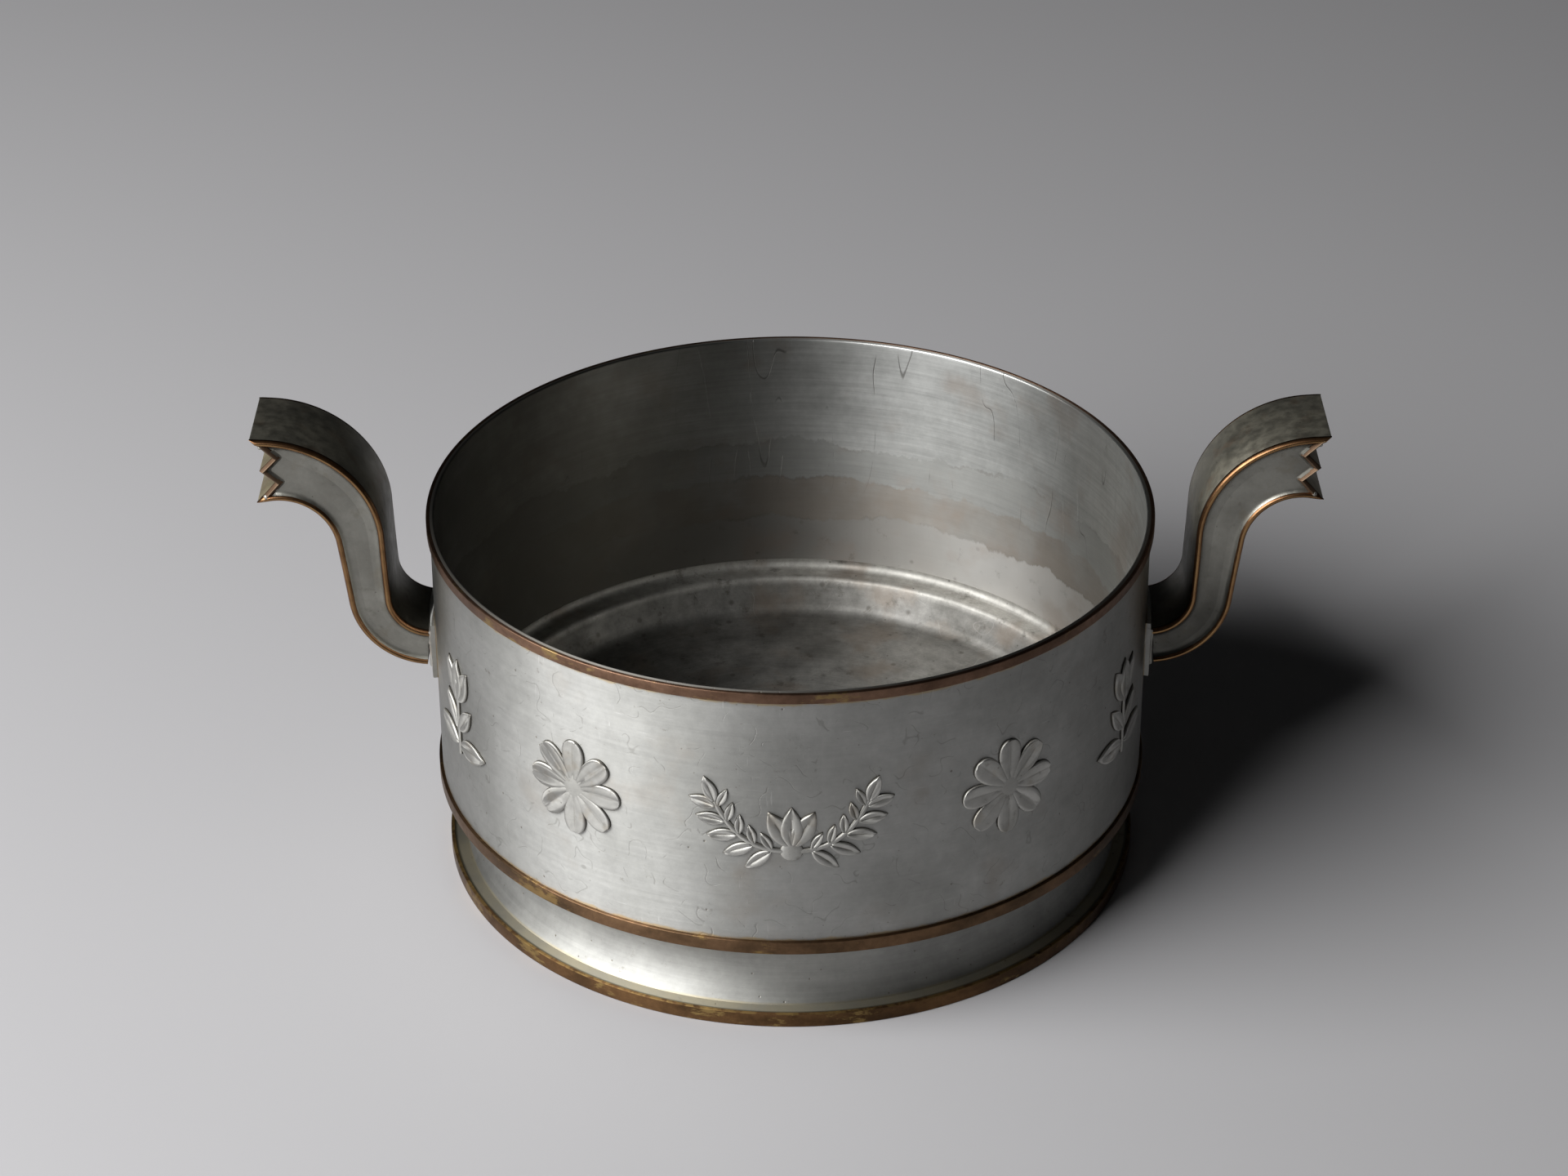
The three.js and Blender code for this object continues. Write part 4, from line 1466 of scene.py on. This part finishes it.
def root_solder():
    """Solder round the root of the handle, where it meets the plate."""
    half = root_thickness / 2
    corners = ((-1, -1), (-1, 1), (1, 1), (1, -1))
    loop = []
    for k, (y_start, z_start) in enumerate(corners):
        y_end, z_end = corners[(k + 1) % 4]
        y_way = (y_start + y_end) / 2
        z_way = (z_start + z_end) / 2
        for share in np.linspace(0, 1, 14)[:-1]:
            y = y_start + (y_end - y_start) * share
            z = z_start + (z_end - z_start) * share
            loop.append((y * handle_half_width, z * half, y_way, z_way))
    widths = wandering(len(loop), 0.5 * mm, 1.3 * mm, 3)
    heights = wandering(len(loop), 0.5 * mm, 1.3 * mm, 3)
    rows = []
    for (y, z, y_way, z_way), width, height in zip(loop, widths, heights):
        x = math.sqrt(plate_radius ** 2 - y ** 2)
        section = []
        for out, up in solder_arch:
            section.append((
                x + height * up,
                y + y_way * width * out,
                handle_height + z + z_way * width * out,
            ))
        rows.append(section)
    return loft(rows, closed_path=True)


print("solder drops stand", round(solder_lift / mm, 1), "mm out from the side panels")

# %% [markdown]
# Each handle stands on a plate that is bent to the wall. One set of parts is made for the front of
# the right-hand handle, and turned over for its back and for the left-hand handle. The order of the
# calls matters, because the solder draws its random numbers one after the other.

# %% Place the handles
def plate_shell():
    """A curved plate with eased edges, bent to the wall."""
    half_angle = math.asin(plate_high.y / plate_radius)
    outline = rounded([
        (wall_radius - seam, plate_low.z, 0),
        (plate_radius, plate_low.z, 0.5 * mm),
        (plate_radius, plate_high.z, 0.5 * mm),
        (wall_radius - seam, plate_high.z, 0),
    ])
    sections = []
    for angle in np.linspace(-half_angle, half_angle, 40):
        sections.append([(r * math.cos(angle), r * math.sin(angle), z) for r, z in outline])
    return loft(sections)


for hand, x_sign in (("right", 1.0), ("left", -1.0)):
    add_piece(
        f"{hand}_handle",
        mirrored(widened(body_shell), x_sign, 1.0),
        [dark_cast, pale_cast, tip_cast],
        [f"{hand}_handle_body"],
        panel_tip_or_top,
    )
    dishes = []
    scraped = []
    solder = [mirrored(root_solder(), x_sign, 1.0)]
    for view, y_sign in (("front", 1.0), ("back", -1.0)):
        dishes += [mirrored(widened(long_fillet(side)), x_sign, y_sign) for side in (1, -1)]
        scraped.append(mirrored(widened(zigzag_fillet()), x_sign, y_sign))
        solder += [mirrored(widened(part), x_sign, y_sign) for part in tip_blobs()]
        edging = (
            ("upper", bead(1), edging_brass),
            ("lower", bead(-1), edging_brass),
            ("zigzag", zigzag_bar(), zigzag_brass),
        )
        for line, part, brass in edging:
            add_piece(
                f"{hand}_{view}_{line}_bead",
                mirrored(widened(part), x_sign, y_sign),
                [brass],
                [f"{hand}_handle_{view}_{line}_edging"],
            )
    body_node = [f"{hand}_handle_body"]
    add_piece(f"{hand}_handle_dishes", join(dishes), [pale_cast], body_node)
    add_piece(f"{hand}_handle_fillets", join(scraped), [fillet_cast], body_node)
    add_piece(f"{hand}_handle_solder", join(solder), [worn_solder], body_node)
    add_piece(
        f"{hand}_plate",
        mirrored(plate_shell(), x_sign, 1.0),
        [satin_pewter],
        [f"{hand}_handle_plate"],
    )

# %% [markdown]
# ## Applied ornaments
# Ten small castings are soldered to the wall: a laurel spray, rosettes and bud sprigs. Each leaf is
# a spindle: it starts as a point, swells and ends as a point. A row of arches along it gives the
# raised edge and the groove of the midrib. A real carver works leaf by leaf in the same way. Leaves
# that grow from one point begin a small gap away from it, so that no two shells meet in a line.

# %% Spindle helper
ornament_height = 48 * mm
spray_width = 86 * mm
sprig_width = 50 * mm
rosette_diameter = 46 * mm
rosette_petals = 8
spray_leaves = 5
stem_width = 2.4 * mm
rosette_angle = 35
sprig_angle = 65
ornament_middle = (belt_high.z + rim_low.z) / 2
ornament_thickness = 1.4 * mm
sunk_below = 0.25 * mm
start_gap = 0.1 * mm
across_points = 15
along_points = 26
leaf_turn = 0.85


def spindle(spine, half_widths, relief):
    """A closed shell along a row of points. relief(share, across) gives its height: share is how far
    along it is, from 0 to 1, and across goes from -1 at one side to 1 at the other."""
    spine = np.asarray(spine, float)
    tangents = np.gradient(spine, axis=0)
    tangents /= np.linalg.norm(tangents, axis=1)[:, None]
    normals = np.stack([-tangents[:, 1], tangents[:, 0]], axis=1)
    rows = []
    across = np.sin(np.linspace(-math.pi / 2, math.pi / 2, across_points))
    for k, (point, normal, half) in enumerate(zip(spine, normals, half_widths)):
        share = k / (len(spine) - 1)
        top = [(*(point + normal * half * a), relief(share, a)) for a in across]
        bottom = [(*(point + normal * half * a), -sunk_below) for a in across[::-1]]
        rows.append(top + bottom)
    return loft(rows)


def smooth(value, low, high):
    """Goes smoothly from 0 to 1 while value goes from low to high."""
    share = min(max((value - low) / (high - low), 0), 1)
    return share * share * (3 - 2 * share)


def leaf_relief(top, groove=0.35):
    """Rounded sides, a fine raised border and a midrib groove that fades towards the point."""
    def height(share, across):
        ends = smooth(share, 0, 0.12) * smooth(1 - share, 0, 0.12)
        sides = (1 - abs(across) ** 6) ** 0.5
        rib = groove * math.exp(-(across / 0.13) ** 2) * smooth(1 - share, 0.1, 0.4)
        hollow = 0.16 * math.cos(across * math.pi) * smooth(share, 0.1, 0.4)
        return top * (0.3 + 0.7 * ends * sides) * (1 - rib - hollow * ends)
    return height


def leaf(x, y, angle, length, width, top):
    """The same pointed outline as in the CAD: a parabola on each side of the midrib."""
    t = np.linspace(0, 1, along_points)
    reach = start_gap + (length - start_gap) * (0.9 * t * (1 - t) + t ** 2)
    half = 2 * t * (1 - t) * width
    spine = np.stack([x + reach * math.cos(angle), y + reach * math.sin(angle)], axis=1)
    return spindle(spine, half, leaf_relief(top))


def petal(angle, length, width, top):
    """A broad petal from the middle of a rosette, with a blunter end than a leaf."""
    t = np.linspace(0, 1, along_points)
    reach = start_gap + (length - start_gap) * (1.5 * (1 - t) ** 2 * t + 3 * (1 - t) * t ** 2 + t ** 3)
    half = 2 * t * (1 - t) * width
    spine = np.stack([reach * math.cos(angle), reach * math.sin(angle)], axis=1)
    return spindle(spine, half, leaf_relief(top, 0.25))


def boss(x, y, radius, top):
    """A low round dome."""
    t = np.linspace(0, 1, 24)
    spine = np.stack([x - radius * np.cos(math.pi * t), np.full(24, y)], axis=1)
    half = radius * np.sin(math.pi * t)

    def dome(share, across):
        out = min(1.0, math.hypot(math.cos(math.pi * share), across * math.sin(math.pi * share)))
        return top * (0.35 + 0.65 * math.sqrt(1 - out ** 2))
    return spindle(spine, half, dome)


def stem(points, width, top):
    """A round bar along a row of points."""
    def round_bar(share, across):
        return top * (0.3 + 0.7 * math.sqrt(max(0, 1 - across ** 2)))
    return spindle(points, np.full(len(points), width / 2), round_bar)


print("a leaf is a row of", along_points, "arches")

# %% [markdown]
# The motifs follow the CAD's outlines to a tenth of a millimetre, so the reliefs sit where their
# solids are. Heights differ a little from leaf to leaf, as if one leaf lay over the next.

# %% Motifs
def parabola(start, control, end):
    """A function that gives the point and the heading at a share of the curve's length."""
    start, control, end = (np.array(p, float) for p in (start, control, end))
    t = np.linspace(0, 1, 400)[:, None]
    points = (1 - t) ** 2 * start + 2 * t * (1 - t) * control + t ** 2 * end
    steps = np.linalg.norm(np.diff(points, axis=0), axis=1)
    length = np.concatenate([[0], np.cumsum(steps)])
    headings = np.unwrap(np.arctan2(*np.gradient(points, axis=0).T[::-1]))

    def at(share):
        x = np.interp(share * length[-1], length, points[:, 0])
        y = np.interp(share * length[-1], length, points[:, 1])
        return x, y, np.interp(share * length[-1], length, headings)
    return at, length[-1]


def bud(y, length, top):
    """Three leaves that grow up from one point, the middle one on top."""
    shells = [leaf(0, y, math.pi / 2 + turn, length, 0.47 * length, 0.85 * top) for turn in (-0.5, 0.5)]
    return shells + [leaf(0, y, math.pi / 2, length, 0.47 * length, top)]


def spray():
    """Two bent stems with leaves on both sides, and a bud between them."""
    half = spray_width / 2
    rise = ornament_height / 2
    top = ornament_thickness
    shells = bud(-0.5 * rise, 0.85 * rise, top)
    for side in (-1, 1):
        at, length = parabola(
            (0, -0.55 * rise), (side * 0.52 * half, -0.6 * rise), (side * 0.74 * half, 0.42 * rise))
        shells.append(stem([at(share)[:2] for share in np.linspace(0, 1, 40)], stem_width, 0.8 * top))
        spacing = length / (spray_leaves + 0.4)
        for i in range(1, spray_leaves + 1):
            share = i * spacing / length
            x, y, heading = at(share)
            outer_length = (2 - 0.45 * share) * spacing
            shells.append(leaf(x, y, heading - side * leaf_turn, outer_length, 0.78 * spacing, 0.95 * top))
            inner_length = 1.25 * spacing
            shells.append(leaf(x, y, heading + side * leaf_turn, inner_length, 0.52 * spacing, 0.85 * top))
        x, y, heading = at(0.97)
        shells.append(leaf(x, y, at(1)[2], 1.7 * spacing, 0.78 * spacing, top))
    shells.append(boss(0, -0.55 * rise, 0.2 * rise, top * 1.05))
    return shells


def sprig():
    """One upright stem with a bud and two pairs of leaves."""
    half = sprig_width / 2
    rise = ornament_height / 2
    top = ornament_thickness
    shells = [stem([(0, y) for y in np.linspace(-rise, 0.4 * rise, 12)], stem_width, 0.8 * top)]
    shells += bud(0.1 * rise, 0.9 * rise, top)
    for side in (-1, 1):
        outward = 0 if side > 0 else math.pi
        shells.append(leaf(0, -0.8 * rise, outward + side * 0.15, half, 0.42 * rise, 0.95 * top))
        upper_turn = outward + side * leaf_turn
        shells.append(leaf(0, -0.5 * rise, upper_turn, 0.8 * half, 0.34 * rise, 0.9 * top))
    return shells


def rosette():
    """Petals round a small dome. Every other petal is a little higher."""
    radius = rosette_diameter / 2
    top = ornament_thickness
    petal_width = 1.25 * math.pi * radius / rosette_petals
    shells = []
    for i in range(rosette_petals):
        angle = 2 * math.pi * i / rosette_petals + math.pi / 2
        shells.append(petal(angle, radius, petal_width, top * (0.92 + 0.05 * (i % 2))))
    shells.append(boss(0, 0, 0.3 * radius, top * 1.05))
    return shells


def bent_to_wall(shell, middle_angle):
    """Wraps a flat motif round the wall. Its X runs along the wall and its Y up."""
    vertices, faces = shell
    angle = math.radians(middle_angle) + np.arcsin(np.clip(vertices[:, 0] / wall_radius, -1, 1))
    height = vertices[:, 1] + ornament_middle
    radius = wall_radius + vertices[:, 2]
    return np.stack([radius * np.cos(angle), radius * np.sin(angle), height], axis=1), faces


flat_motifs = {"spray": join(spray()), "rosette": join(rosette()), "sprig": join(sprig())}
ornament_places = (
    ("spray", "spray", 0),
    ("left_rosette", "rosette", -rosette_angle),
    ("right_rosette", "rosette", rosette_angle),
    ("left_sprig", "sprig", -sprig_angle),
    ("right_sprig", "sprig", sprig_angle),
)
for half_name, half_angle in (("front", -90), ("back", 90)):
    for place_name, motif, offset in ornament_places:
        add_piece(
            f"{half_name}_{place_name}_relief",
            bent_to_wall(flat_motifs[motif], half_angle + offset),
            [relief_cast],
            [f"{half_name}_{place_name}"],
        )

# %% [markdown]
